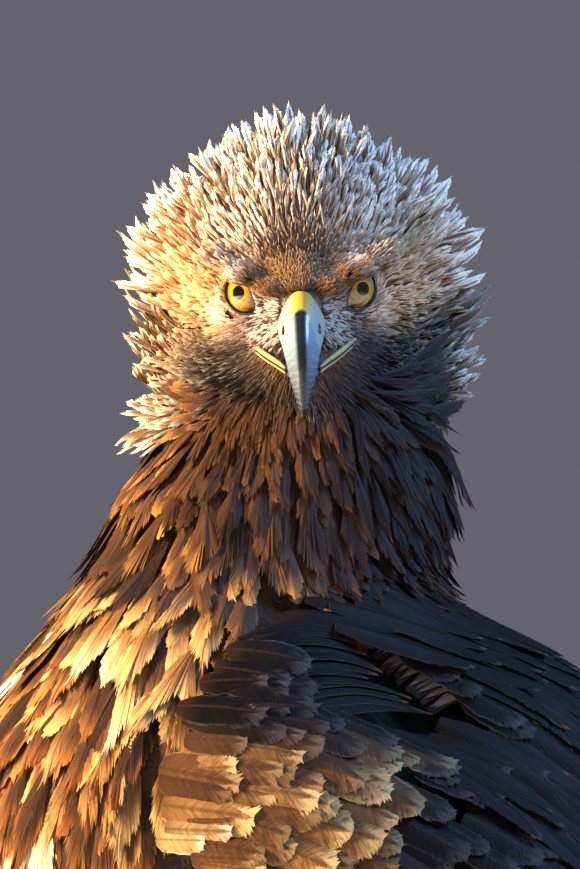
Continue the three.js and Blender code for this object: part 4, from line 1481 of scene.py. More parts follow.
@dataclass
class BodyCoat:
    """Contour feathers of the neck, trunk and legs."""

    skin: Skin

    def covered(self, points: Array) -> Array:
        """Whether a folded wing hides points."""
        run = (points - WingBed.START) @ WingBed.AXIS / WingBed.LENGTH
        turn = np.degrees(np.arctan2(np.abs(points[:, 0]), (points - WingBed.START) @ WingBed.UP))
        behind = (points[:, 1] > wing_front(points[:, 2]) + 3) & (points[:, 2] < 464)
        return behind & (turn < 86) & (turn > 12) & (run < 0.6)

    def sizes(self, points: Array) -> tuple[Array, Array, Array]:
        """Length and width of feathers, and the share of their length that they rise, at points."""
        x, y, z = points.T
        neck, throat = smooth(z, 440, 530), smooth(z, 512, 552)
        leg = fade(z, 130, 200) * smooth(np.abs(x), 18, 30)
        shank = fade(z, 80, 104)
        nape = smooth(z, 440, 480) * smooth(y, -4, 40)
        length = mix(mix(mix(60, 40, neck), 22, throat), mix(37, 20, fade(z, 484, 530)), nape)
        width = mix(mix(mix(18.5, 13.5, neck), 5.2, throat), 8, nape)
        rise = mix(mix(0.075, 0.12, neck), 0.28, nape)
        pairs = ((length, 40, 13), (width, 13, 3.0), (rise, 0.2, 0.16))
        return tuple(mix(mix(trunk, on_leg, leg), on_shank, shank) for trunk, on_leg, on_shank in pairs)

    def tract(self, name: str, slot: str, grows: Field, layers: tuple, seed: int) -> None:
        """Makes one tract.

        Args:
            name: The piece's name.
            slot: The record's material slot.
            grows: Whether points lie in it.
            layers: For each layer, from the skin out, how a feather is built, the share of the full
                size, the distance between roots as a share of the width, and a lift.
            seed: For the draws.
        """
        coat = Coat(name, self.skin, slot)
        for number, (vane, size, apart, lift) in enumerate(layers):
            random = np.random.default_rng(seed + number)
            gap = lambda p: self.sizes(p)[1] * apart
            roots = self.skin.roots(lambda p: grows(p) & ~self.covered(p), gap, seed + number)
            count = len(roots)
            _, y, z = roots.T
            length, width, rise = self.sizes(roots)
            length = length * size * random.uniform(0.85, 1.15, count)
            past = y - wing_front(z)
            brink = smooth(past, -26, 2) * smooth(z, 320, 350) * fade(z, 480, 500) * fade(y, 20, 40)
            length, width = length * (1 - 0.5 * brink), width * size * (1 - 0.3 * brink)
            near = smooth(past, -26, 0) * smooth(z, 340, 380) * fade(z, 480, 510)
            start = self.skin.hide(roots)
            tip = start + length * rise * random.uniform(0.6, 1.35, count) + 5 * near
            lifts = np.stack([start, tip + 1.5 + lift], axis=1)
            line, out = streams(self.skin.hide, roots, lie, length, lifts, 0.15 * random.normal(size=count))
            end_y, end_z = line[:, -1, 1], line[:, -1, 2]
            clear = (end_y < wing_front(end_z) + 3) | (end_z > 456) | (end_z < 320) | (y > 60)
            turn = 0.13 * random.normal(size=count)
            curves = Curves.through(line[clear], out[clear], width[clear] / 2, turn[clear])
            colours = Markings.body(roots[clear], random.random(clear.sum()))
            coat.add(vane.shapes(curves, random), colours, roots[clear])
        coat.build(self.finish)

    def build(self) -> None:
        """Makes each tract as a piece."""
        self.finish = VaneFinish("contour_feather", barbs=44, slant=0.5, contrast=0.6).material()
        under = (BarbedVane(Outline.SOFT, 9, 0.3, shaft=False), 0.8, 0.52, -0.5)
        broad = (under, (BarbedVane(Outline.SOFT, 38, 0.46, loose=0.13, overlap=11), 1.0, 0.56, 0.8))
        lance = (under, (BarbedVane(Outline.LANCE, 18, 0.4, loose=0.1, overlap=8), 1.0, 0.62, 0.5))
        soft = (under, (BarbedVane(Outline.SOFT, 26, 0.42, loose=0.13, overlap=9), 1.0, 0.58, 0.5))
        scales = ((Tuft(thick=0.6), 1.0, 0.83, 0.0),)
        crop = lambda p: p[:, 1] < 12
        nape = lambda p: p[:, 1] >= 12
        front = lambda p: p[:, 1] < -10
        flank = lambda p: p[:, 1] >= -10
        belly = lambda p: (np.abs(p[:, 0]) < 26) & (p[:, 1] < 320)
        leg = lambda p: np.abs(p[:, 0]) >= 26
        tracts = (
            ("neck_feathers", "neck", 492, 552, crop, soft, 50),
            ("nape_hackles", "neck", 440, 556, nape, lance, 60),
            ("shoulder_feathers", "neck", 440, 492, crop, soft, 51),
            ("breast_feathers", "torso", 236, 440, front, broad, 52),
            ("flank_feathers", "torso", 190, 440, flank, broad, 53),
            ("belly_feathers", "torso", 0, 236, belly, broad, 54),
            ("trouser_feathers", "thigh_left", 92, 240, leg, lance, 55),
            ("shank_feathers", "tarsus_left", 0, 92, leg, scales, 56),
        )
        for name, slot, low, high, part, layers, seed in tracts:
            self.tract(name, slot, lambda p: (p[:, 2] > low) & (p[:, 2] <= high) & part(p), layers, seed)


def wing_front(height: Array) -> Array:
    """Where along the body a folded wing's front edge shows, at heights."""
    return np.interp(height, [340, 369, 389, 422, 455, 478], [-62, -54, -44, -36, -22, 10])


def falling(degrees: Array) -> Array:
    """Ways to the back that fall by degrees."""
    slope = np.radians(degrees)
    return xyz(0, np.cos(slope), -np.sin(slope))


class WingBed:
    """The surface that a folded wing's feathers lie on."""

    START = np.array([0.0, -80, 400])
    END = np.array([0.0, 470, 68])
    LENGTH = float(np.linalg.norm(END - START))
    AXIS = (END - START) / LENGTH
    UP = np.cross(X, AXIS)
    ALONG = np.linspace(-0.04, 1.04, 110)
    TURN = np.linspace(-16, 130, 74)

    def __init__(self, side: Side) -> None:
        """Reads the bed's surface over a grid, from the shoulder to the tip and round the body."""
        grid = np.meshgrid(self.ALONG, np.radians(self.TURN), indexing="ij")
        run, angle = (axis.ravel()[:, None] for axis in grid)
        starts = self.START + (self.END - self.START) * run
        ways = self.UP * np.cos(angle) + X * side.value * np.sin(angle)
        points = starts + ways * np.maximum(WING_BED.reach(starts, ways), 13)[:, None]
        shape = (len(self.ALONG), len(self.TURN), 3)
        self.points, self.outs = points.reshape(shape), WING_BED.outward(points).reshape(shape)

    def at(self, along: Array, turn: Array, lift: Array | float) -> tuple[Array, Array]:
        """Points over the bed.

        Args:
            along: Shares from the shoulder to the tip.
            turn: Degrees round the body from the back.
            lift: Millimetres off the bed.

        Returns:
            The points, and the way out at each.
        """
        cells = []
        for value, grid in ((along, self.ALONG), (turn, self.TURN)):
            place = np.clip((value - grid[0]) / (grid[1] - grid[0]), 0, len(grid) - 1.001)
            cells.append((place.astype(int), (place - place.astype(int))[..., None]))
        (a, s), (b, t) = cells
        point, out = (
            mix(mix(grid[a, b], grid[a + 1, b], s), mix(grid[a, b + 1], grid[a + 1, b + 1], s), t)
            for grid in (self.points, self.outs)
        )
        out = unit(out)
        return point + out * np.asarray(lift)[..., None], out


@dataclass(frozen=True)
class Tier:
    """A tier of the wing: roots and tips as (along, turn, lift) of its lowest and topmost feather."""

    count: int
    roots: tuple[Triple, Triple]
    tips: tuple[Triple, Triple]
    width: float
    roll: float
    edge: Array
    fringe: float


SECONDARIES = Tier(
    14, ((0.33, 93, 4), (0.41, 15, 2)), ((0.5, 96, 6), (0.75, 9, 7)), 33, 11, Palette.brown, 0.12
)
GREATER_COVERTS = (
    Tier(13, ((0.24, 94, 7), (0.33, 22, 4)), ((0.41, 97, 9), (0.56, 17, 10)), 29, 9, Palette.tan, 0.16),
    Tier(12, ((0.19, 94, 9), (0.27, 26, 6)), ((0.34, 96, 11), (0.47, 21, 12)), 27, 9, Palette.tan, 0.2),
)


@dataclass
class Wing:
    """One folded wing, tier over tier."""

    side: Side
    skin: Skin
    primaries: int = 8
    bow: float = 2.5

    def __post_init__(self) -> None:
        """Finds the bed that the feathers lie on, and starts the draws."""
        self.node = f"wing_{self.side.label}"
        self.bed = WingBed(self.side)
        self.random = np.random.default_rng(31)

    def feathers(self, tier: Tier) -> Curves:
        """The shafts of one tier."""
        share = np.linspace(0, 1, tier.count)[:, None]
        root, tip = (mix(np.array(low), np.array(high), share) for low, high in (tier.roots, tier.tips))
        root = root + self.random.normal(size=root.shape) * (0.004, 1.0, 0.3)
        tip = tip + self.random.normal(size=tip.shape) * (0.007, 1.2, 0.5)
        s = np.linspace(0, 1, 9)[None]
        along, turn, lift = (mix(root[:, k, None], tip[:, k, None], s**p) for k, p in enumerate((1, 1, 0.6)))
        points, out = self.bed.at(along, turn + self.bow * np.sin(math.pi * s), lift)
        return Curves.through(points, out, tier.width / 2, self.side.value * math.radians(tier.roll))

    def long_primaries(self) -> Curves:
        """The primaries, stacked flat on each other and reaching back to the wing's tip."""
        over = WingBed.UP * 0.82 - X * 0.57 * self.side.value
        out = WingBed.UP * 0.57 + X * 0.82 * self.side.value
        share = np.linspace(0, 1, self.primaries)
        order = share * 4
        root = self.bed.at(np.full(1, 0.4), np.full(1, 84.0), 1.0)[0] + np.outer(order * 9, over)
        tip = self.bed.at(mix(0.8, 0.97, share), np.full(len(share), 64.0), 2.0)[0]
        tip = tip + np.outer(order * 2.2, over)
        s = np.linspace(0, 1, 9)
        points = mix(root[:, None], tip[:, None], s[None, :, None])
        points = points + ((1.7 * order)[:, None] + 5 * np.sin(math.pi * s)[None])[..., None] * out
        return Curves.through(points, out, 12.5)

    def build(self) -> None:
        """Makes the flight feathers, the coverts and the scapulars."""
        flight = Coat(f"{self.node}_flight", self.skin, self.node)
        for tier in (SECONDARIES, *GREATER_COVERTS):
            curves = self.feathers(tier)
            flight.dress(curves, SmoothVane(), Palette.umber, tier.edge, tier.fringe, self.random)
        flight.dress(self.long_primaries(), SmoothVane(), Palette.dusk, Palette.umber, 0.1, self.random)
        name = f"flight_{self.side.label}"
        finish = VaneFinish(name, barbs=60, slant=0.2, contrast=0.3, roughness=0.5, shaft=Palette.umber)
        flight.build(finish.material(), self.node)
        self.coverts()
        self.scapulars()

    def flow(self, points: Array) -> Array:
        """The way of the small feathers: back along the wing, level at the shoulder."""
        return falling(mix(6, 33, smooth(points[:, 1], -40, 60)))

    def mantle(self, points: Array) -> Array:
        """The way of the scapulars: almost level on the shoulder and steeper behind it."""
        return falling(mix(8, 38, smooth(points[:, 1], 30, 140)) + 9 * fade(points[:, 2], 420, 450))

    def spread(self, along: tuple, turn: tuple, gap: tuple, seed: int) -> Array:
        """Staggered roots over a part of the wing.

        Args:
            along: First and last share from the shoulder.
            turn: First and last degrees round the body.
            gap: Millimetres between rows and between feathers of a row.
            seed: For the draws.

        Returns:
            Points on the bed, from the front.
        """
        random = np.random.default_rng(seed)
        rows = int((along[1] - along[0]) * WingBed.LENGTH / gap[0])
        columns = int(math.radians(turn[1] - turn[0]) * 92 / gap[1])
        row, column = np.meshgrid(np.arange(rows), np.arange(columns), indexing="ij")
        down = (row + 0.3 * random.normal(size=row.shape)) / rows
        beside = (column + 0.5 * (row % 2) + 0.22 * random.normal(size=row.shape)) / columns
        return self.bed.at(mix(*along, down).ravel(), mix(*turn, beside).ravel(), 0)[0]

    def laid(self, roots: Array, length: Array, width: Array, lifts: tuple, flow: Field, seed: int) -> Curves:
        """Shafts that run over the wing from roots, lifted at root and tip."""
        random = np.random.default_rng(seed)
        stray = 0.09 * random.normal(size=len(roots))
        line, out = streams(WING_FLESH, roots, flow, length, np.stack(lifts, axis=1), stray)
        roll = self.side.value * math.radians(7) + 0.06 * random.normal(size=len(roots))
        return Curves.through(line, out, width / 2, roll)

    def hollow(self, points: Array) -> Array:
        """How far points lie in the hollow under the scapulars, from 0 to 1."""
        y, z = points[:, 1] - 16, points[:, 2] - 429
        return fade(np.hypot((y * 0.97 - z * 0.24) / 44, (y * 0.24 + z * 0.97) / 19), 0.75, 1.1)

    def coverts(self) -> None:
        """Small feathers of the arm, largest at its lower front."""
        random, p = self.random, Palette
        coat = Coat(f"{self.node}_coverts", self.skin, self.node)
        smooth_vane = SmoothVane(Outline.ROUND, 12, camber=0.3, ragged=0.05)
        barbs = BarbedVane(Outline.ROUND, 26, 0.3, 0.3, camber=0.3, loose=0.07, overlap=7, crowd=1.1)
        for part, (first, last, gap) in enumerate(((0.0, 0.15, (9.5, 8.5)), (0.15, 0.33, (12, 10.5)))):
            roots = self.spread((first, last), (26, 101), gap, 60 + part)
            y, z = roots[:, 1], roots[:, 2]
            roots = roots[(y > wing_front(z) - 14) & (self.hollow(roots) < 0.4) & (z < 446)]
            y, z = roots[:, 1], roots[:, 2]
            count = len(roots)
            front = fade(y, -2, 30) * fade(z, 396, 416)
            wrist = fade(np.hypot(y + 52, z - 366), 3, 8)
            size = mix(mix(13.5, 18, front), 21, smooth(y, 70, 130)) * random.uniform(0.8, 1.25, count)
            size = size * (1 - 0.55 * wrist)
            length = size * mix(2.3, 1.75, front)
            base = mix(1.0, 4.0, smooth(y - wing_front(z), -10, 26))
            luck, wrist = random.random((count, 1)), wrist[:, None]
            # Painted light: the lower front coverts, where the key light falls, take tawny lit colours,
            # partly their own tone; the rest take near-black cores and slate edges as painted shade.
            painted_sunlight = front[:, None] * (0.6 + 0.4 * luck)
            core = mix(p.night * 0.8, mix(p.brown, p.tan * 0.8, luck), painted_sunlight)
            edge = mix(p.slate * 0.4, mix(p.tan, p.buff, luck), painted_sunlight)
            core, edge = mix(core, p.buff * 0.8, wrist), mix(edge, p.cream * 0.9, wrist)
            curves = self.laid(roots, length, size, (base, base + 0.13 * length + 1), self.flow, 70 + part)
            coat.dress(curves, smooth_vane, core, edge, 0.15, random)
            frayed = Curves(curves.at + curves.out * 0.3, curves.side, curves.out, curves.half * 1.07)
            coat.dress(frayed, barbs, core, edge, 0.3, random)
        name = f"covert_{self.side.label}"
        finish = VaneFinish(name, barbs=34, slant=0.25, contrast=0.45, shaft=p.umber, sheen=0.0, gloss=0.14)
        coat.build(finish.material())

    def scapulars(self) -> None:
        """Long dark feathers from the shoulder over the back, and the vanes in the hollow below them."""
        random, p = self.random, Palette
        coat = Coat(f"{self.node}_scapulars", self.skin, self.node)
        roots = self.spread((0.02, 0.27), (3, 56), (11, 6.2), 80)
        front = roots[:, 1] > wing_front(roots[:, 2]) - 6
        roots = roots[front & (self.hollow(roots + (0, 14, -6)) < 0.35) & (self.hollow(roots) < 0.5)]
        y = roots[:, 1]
        count = len(roots)
        size = mix(8.5, 14, smooth(y, 0, 90)) * random.uniform(0.85, 1.15, count)
        length = mix(52, 84, smooth(y, -20, 60)) * random.uniform(0.85, 1.15, count)
        base = mix(-2, 5, smooth(y - wing_front(roots[:, 2]), -4, 30))
        curves = self.laid(roots, length, size, (base, base + 7), self.mantle, 81)
        tone, rim = p.night * 0.7, mix(p.slate * 0.5, p.tan * 0.6, random.random((count, 1)) ** 2)
        coat.dress(curves, SmoothVane(Outline.SOFT, 11, camber=0.26, ragged=0.02), tone, rim, 0.05, random)
        frayed = Curves(curves.at - curves.out * 0.25, curves.side, curves.out, curves.half * 1.1)
        barbs = BarbedVane(Outline.SOFT, 30, 0.2, 0.4, camber=0.26, loose=0.06, shaft=False)
        coat.dress(frayed, barbs, tone, rim, 0.2, random)
        for inner in (True, False):
            self.hollow_vanes(coat, inner)
        look = {"barbs": 70, "slant": 0.2, "contrast": 0.35, "roughness": 0.56, "sheen": 0.0, "gloss": 0.14}
        coat.build(VaneFinish(f"scapular_{self.side.label}", shaft=p.dusk, **look).material())

    def hollow_vanes(self, coat: Coat, inner: bool, count: int = 15) -> None:
        """Narrow curved vanes in the hollow.

        Args:
            coat: The piece.
            inner: Whether they run in from the front, rather than spring from pale bases.
            count: How many there are.
        """
        random, share = self.random, np.linspace(0, 1, count)
        y = mix(21.0, 53.0, share) - (46 if inner else 0) * mix(1, 0.95, share)
        z = mix(447.0, 416.0, share) - (3 * np.sin(share * 3) if inner else 0)
        starts = xyz(0, y, z) + 0.9 * random.normal(size=(count, 3)) * (0, 1, 1)
        out = X * self.side.value + 0 * starts
        roots = starts + out * WING_FLESH.reach(starts, out)[:, None]
        rise, fall, high = (26, 20, 2.5) if inner else (44, 62, 8.5)
        flow = lambda p: falling(mix(-rise, fall, np.clip((p[:, 1] - roots[:, 1]) / 44, 0, 1)))
        length = (50.0 if inner else mix(66.0, 50.0, share)) * random.uniform(0.8, 1.15, count)
        lifts = np.stack([np.full(count, 0.4), np.full(count, high)], axis=1)
        line, outs = streams(WING_FLESH, roots, flow, length, lifts, 0.03 * random.normal(size=count), 10)
        roll = self.side.value * (0.5 + 0.2 * random.normal(size=count))
        curves = Curves.through(line, outs, 2.9, roll)
        # Near-black vanes: dark feathers, deepened as painted shade in the hollow, most of all for the inner
        # ones.
        tone = Palette.night * (0.5 if inner else 0.9)
        coat.dress(curves, SmoothVane(Outline.SOFT, 10, camber=0.3), tone, Palette.tan * 0.4, 0.12, random)
        if not inner:
            side, out, half = curves.side[:, :5], curves.out[:, :5], random.uniform(2.2, 4.0, count)
            base = Curves(line[:, :5] + out * 1.2, side, out, half)
            down = BarbedVane(Outline.SOFT, 20, 0.4, loose=0.3, shaft=False)
            coat.dress(base, down, Palette.slate, Palette.frost, 0.4, random)


@dataclass
class Tail:
    """A narrow fan of barred feathers under its coverts."""

    skin: Skin
    vanes: int = 12
    slope: float = 32.0
    root: Triple = (0, 222, 233)
    covert_rows: int = 6
    covert_count: int = 7

    def at(self, distance: Array, out: Array, lift: Array) -> tuple[Array, Array]:
        """Points over the tail.

        Args:
            distance: Back from the root.
            out: To the bird's left.
            lift: Off the fan.

        Returns:
            The points, and the way up at each.
        """
        slope = np.radians(self.slope + 0.006 * distance)[..., None]
        up = Y * np.sin(slope) + Z * np.cos(slope)
        at = np.array(self.root) + (Y * np.cos(slope) - Z * np.sin(slope)) * distance[..., None]
        return at + X * out[..., None] + up * (lift - 0.0022 * out**2)[..., None], up

    def build(self) -> None:
        """Makes the fan and its coverts."""
        random = np.random.default_rng(77)
        number = np.arange(self.vanes)[:, None]
        side = np.where(number % 2, -1, 1)
        run = np.linspace(0, 1, 9) * (TAIL_LENGTH - 3 * (number // 2))
        out = side * (number // 2 + 0.4) * (2.6 + 0.016 * run)
        points, up = self.at(run, out, -1.3 * number + 0 * run)
        vane = SmoothVane(stations=18, camber=0.05)
        fan = Coat("tail_feathers", self.skin, "tail")
        fan.dress(Curves.through(points, up, 22.0), vane, Palette.bar * 0.62, Palette.tan * 0.7, 0.06, random)
        look = {"barbs": 90, "slant": 0.2, "contrast": 0.25, "roughness": 0.55, "bars": 8.0}
        fan.build(VaneFinish("tail_vane", shaft=Palette.umber, **look).material(), "tail")
        self.coverts(random)

    def coverts(self, random: Random) -> None:
        """Small feathers over and under the tail's root."""
        coat = Coat("tail_coverts", self.skin, "tail")
        vane = BarbedVane(Outline.ROUND, barbs=7, sweep=0.34, loose=0.1)
        s = np.linspace(0, 1, 7)
        for above, pale in ((1, Palette.brown), (-1, Palette.tan)):
            for share in np.linspace(0, 1, self.covert_rows):
                out = np.linspace(-1, 1, self.covert_count)[:, None] * mix(27, 38, share)
                droop = 0.012 * out**2
                run = mix(44.0, -34.0, share) + s * (56 + 10 * random.random((self.covert_count, 1))) - droop
                high = mix(5, 21, share) - droop + 3 * s
                points, up = self.at(run, out + 0 * s, high if above > 0 else -high - 16)
                roll = 0.12 * random.normal(size=self.covert_count)
                curves = Curves.through(points, up * above, 11.0, roll)
                coat.dress(curves, vane, pale * 0.8, Palette.buff * 0.7, 0.3, random)
        coat.build(VaneFinish("tail_covert", barbs=24, slant=0.3, contrast=0.45).material())


@dataclass(frozen=True)
class IrisFinish:
    """The glossy eye: black pupil, speckled amber iris and a dark rim."""

    pupil: float = 2.75
    iris: float = 8.3
    blur: float = 0.12

    def material(self) -> Material:
        """Builds the material."""
        g = Graph("eye_amber")
        x, y, _ = g.axes(g.read("gaze", "Vector")[0])
        radius = (x * x + y * y).math("SQRT")
        rays = g.noise(g.vector(y.math("ARCTAN2", x) * 5.0, radius * 0.25, 0.0), 2.0, 3.0)
        spots = g.noise(g.vector(x, y, 0.0), 1.1, 3.0)
        amber = g.mixed(tint("b98600"), tint("8a5200"), radius.ramp(self.pupil, self.iris))
        amber = g.mixed(amber, tint("6e4a08"), rays.ramp(0.48, 0.72) * 0.5)
        amber = g.mixed(amber, tint("40240c"), spots.ramp(0.54, 0.66) * (y * -0.12 + 0.55))
        colour = g.mixed(amber, tint("150d08"), radius.ramp(self.iris - 1.1, self.iris - 0.1))
        hole = 1.0 - radius.ramp(self.pupil - self.blur, self.pupil + self.blur)
        colour = g.mixed(colour, (0.002, 0.002, 0.002), hole)
        return g.finish(
            Base_Color=colour, Roughness=0.12, Coat_Weight=1.0, Coat_Roughness=0.02, Specular_IOR_Level=0.6
        )


@dataclass(frozen=True)
class PlainFinish:
    """A finish of two mottled colours with fine relief."""

    name: str
    first: Array
    second: Array
    scale: float = 300.0
    roughness: float = 0.5
    relief: float = 0.2
    coat: float = 0.0

    def material(self) -> Material:
        """Builds the material."""
        g = Graph(self.name)
        place = g.object_place()
        cloud, grain = g.noise(place, self.scale, 4.0), g.noise(place, self.scale * 5)
        return g.finish(
            Base_Color=g.mixed(self.first, self.second, cloud.ramp(0.35, 0.65)),
            Roughness=grain * 0.2 + (self.roughness - 0.1),
            Normal=g.bump(cloud * 0.6 + grain * 0.4, self.relief, 0.001),
            Coat_Weight=self.coat,
            Coat_Roughness=0.15,
        )


@dataclass(frozen=True)
class BillFinish:
    """Yellow cere, then blue-grey horn that darkens to the ridge and the hook."""

    cere_end: float = 0.345

    def material(self) -> Material:
        """Builds the material."""
        g = Graph("bill_horn_and_cere")
        round_, along = g.unwrap("Bill")
        place = g.object_place()
        cloud, fine = g.noise(place, 160.0, 4.0), g.noise(place, 1500.0)
        off = abs(round_ - 0.5) * 2.0
        ridge = 1.0 - off.ramp(0.06, 0.15)
        crest = 1.0 - off.ramp(0.0, 0.34)
        wax = g.mixed(tint("a39f86"), tint("c9a320"), crest)
        wax = g.mixed(wax, tint("848c88"), (1.0 - crest) * along.ramp(0.16, 0.4) * 0.7)
        wax = g.mixed(wax, tint("9a8a3c"), cloud.ramp(0.5, 0.75) * 0.35)
        horn = g.mixed(tint("76858f"), tint("29313a"), along.ramp(self.cere_end + 0.05, 0.8))
        horn = g.mixed(horn, tint("0e0f12"), ridge.up_to(along.ramp(0.75, 1.0)) * 0.96)
        growth = (along * 150.0 + cloud * 14.0).math("SINE")
        horn = g.mixed(horn, tint("d5d8d2"), growth.ramp(0.3, 1.0) * (1.0 - crest) * 0.1)
        edge = along + (cloud - 0.5) * 0.02 - off.ramp(0.0, 0.5) * 0.15
        mask = edge.ramp(self.cere_end - 0.01, self.cere_end + 0.01)
        colour = g.mixed(wax, horn, mask)
        colour = g.mixed(colour, tint("0a0705"), g.read("nostril", "Fac")[0].ramp(0.12, 0.45))
        height = growth * mask * (1.0 - crest) * 0.08 + fine * 0.3 + cloud * (1.5 - mask)
        return g.finish(
            Base_Color=colour,
            Roughness=0.42 - mask * 0.16 + fine * 0.12,
            Normal=g.bump(height, 0.3, 0.0006),
            Coat_Weight=mask * 0.45,
            Coat_Roughness=0.12,
            Specular_IOR_Level=0.5,
        )


@dataclass
class Eye:
    """An eyeball with its cornea, and the ring of its lids."""

    side: Side
    bulge: float = 0.8
    lid: float = 0.8
    back: float = -0.3
    steps: int = 96

    def __post_init__(self) -> None:
        """Finds the eye's place, and the angles of a ring round its opening."""
        self.place = EyePlace(self.side)
        self.angle = np.linspace(0, 2 * math.pi, self.steps, endpoint=False)

    def eyeball(self) -> None:
        """Makes the eyeball."""
        bm = ball(64, 48)
        gaze = bm.verts.layers.float_vector.new("gaze")
        for vert in bm.verts:
            x, y, z = vert.co
            radius = EYEBALL + self.bulge * float(smooth(np.array(z), 0.72, 1.0))
            vert[gaze] = Vector((x * EYEBALL, y * EYEBALL, z * EYEBALL))
            vert.co = scene_points(self.place.at(*(radius * np.array((x, y, max(z, self.back))))))
        bmesh.ops.recalc_face_normals(bm, faces=bm.faces)
        piece = object_from(bm, f"eyeball_{self.side.label}", IrisFinish().material(), 80)
        settle(piece, f"eye_{self.side.label}", f"eye_{self.side.label}")

    def hoop(self, inset: float, stand: float, radius: Field, around: int) -> Shell:
        """A hoop along the opening between the lids.

        Args:
            inset: Millimetres inside the opening's edge.
            stand: Millimetres off the eyeball.
            radius: The hoop's own radius, at angles round the opening.
            around: Points round the hoop's section.

        Returns:
            The hoop.
        """
        reach = self.place.opening(self.angle) - inset
        x, y = reach * np.cos(self.angle), reach * np.sin(self.angle)
        z = np.sqrt(np.maximum(1 - (np.hypot(x, y) / EYEBALL) ** 2, 0.05)) * EYEBALL
        share = (EYEBALL + stand) / EYEBALL
        path = self.place.at(x * share, y * share, z * share)
        ahead = unit(np.roll(path, -1, axis=0) - np.roll(path, 1, axis=0))
        out = unit(path - self.place.centre)
        side = unit(np.cross(ahead, out))
        turn = np.linspace(0, 2 * math.pi, around, endpoint=False)[None, :, None]
        ring = side[:, None] * np.cos(turn) + out[:, None] * np.sin(turn)
        return Loft.made(path[:, None] + ring * radius(self.angle)[:, None, None], closed=True)

    def socket(self) -> Shell:
        """The skin of the rim that the lids sit in."""
        rim, rings = Socket(self.side), []
        start, end = -0.25, 9.5
        steps = [(step, False) for step in np.linspace(start, end, 16)]
        for out, low in (*steps, (end, True), (start, True)):
            radius = self.place.opening(self.angle) + 0.4 + out
            height = rim.crest(self.angle, radius) - 1.1
            height = np.minimum(height - 2, 2.0) if low else height
            rings.append(self.place.at(radius * np.cos(self.angle), radius * np.sin(self.angle), height))
        return Loft.made(np.array(rings).transpose(1, 0, 2), closed=True)

    def build(self) -> list[Shell]:
        """Makes the eyeball.

        Returns:
            The lid, its dark rim and the socket, for the pieces that hold both eyes'.
        """
        self.eyeball()
        beads = lambda a: self.lid * (1 + 0.2 * np.sin(a * 34)) * (1 - 0.25 * np.sin(a))
        rim = self.hoop(0.35, 0.3, lambda a: 0.75 - 0.25 * np.sin(a), 8)
        return [self.hoop(-0.5, 0.7, beads, 10), rim, self.socket()]


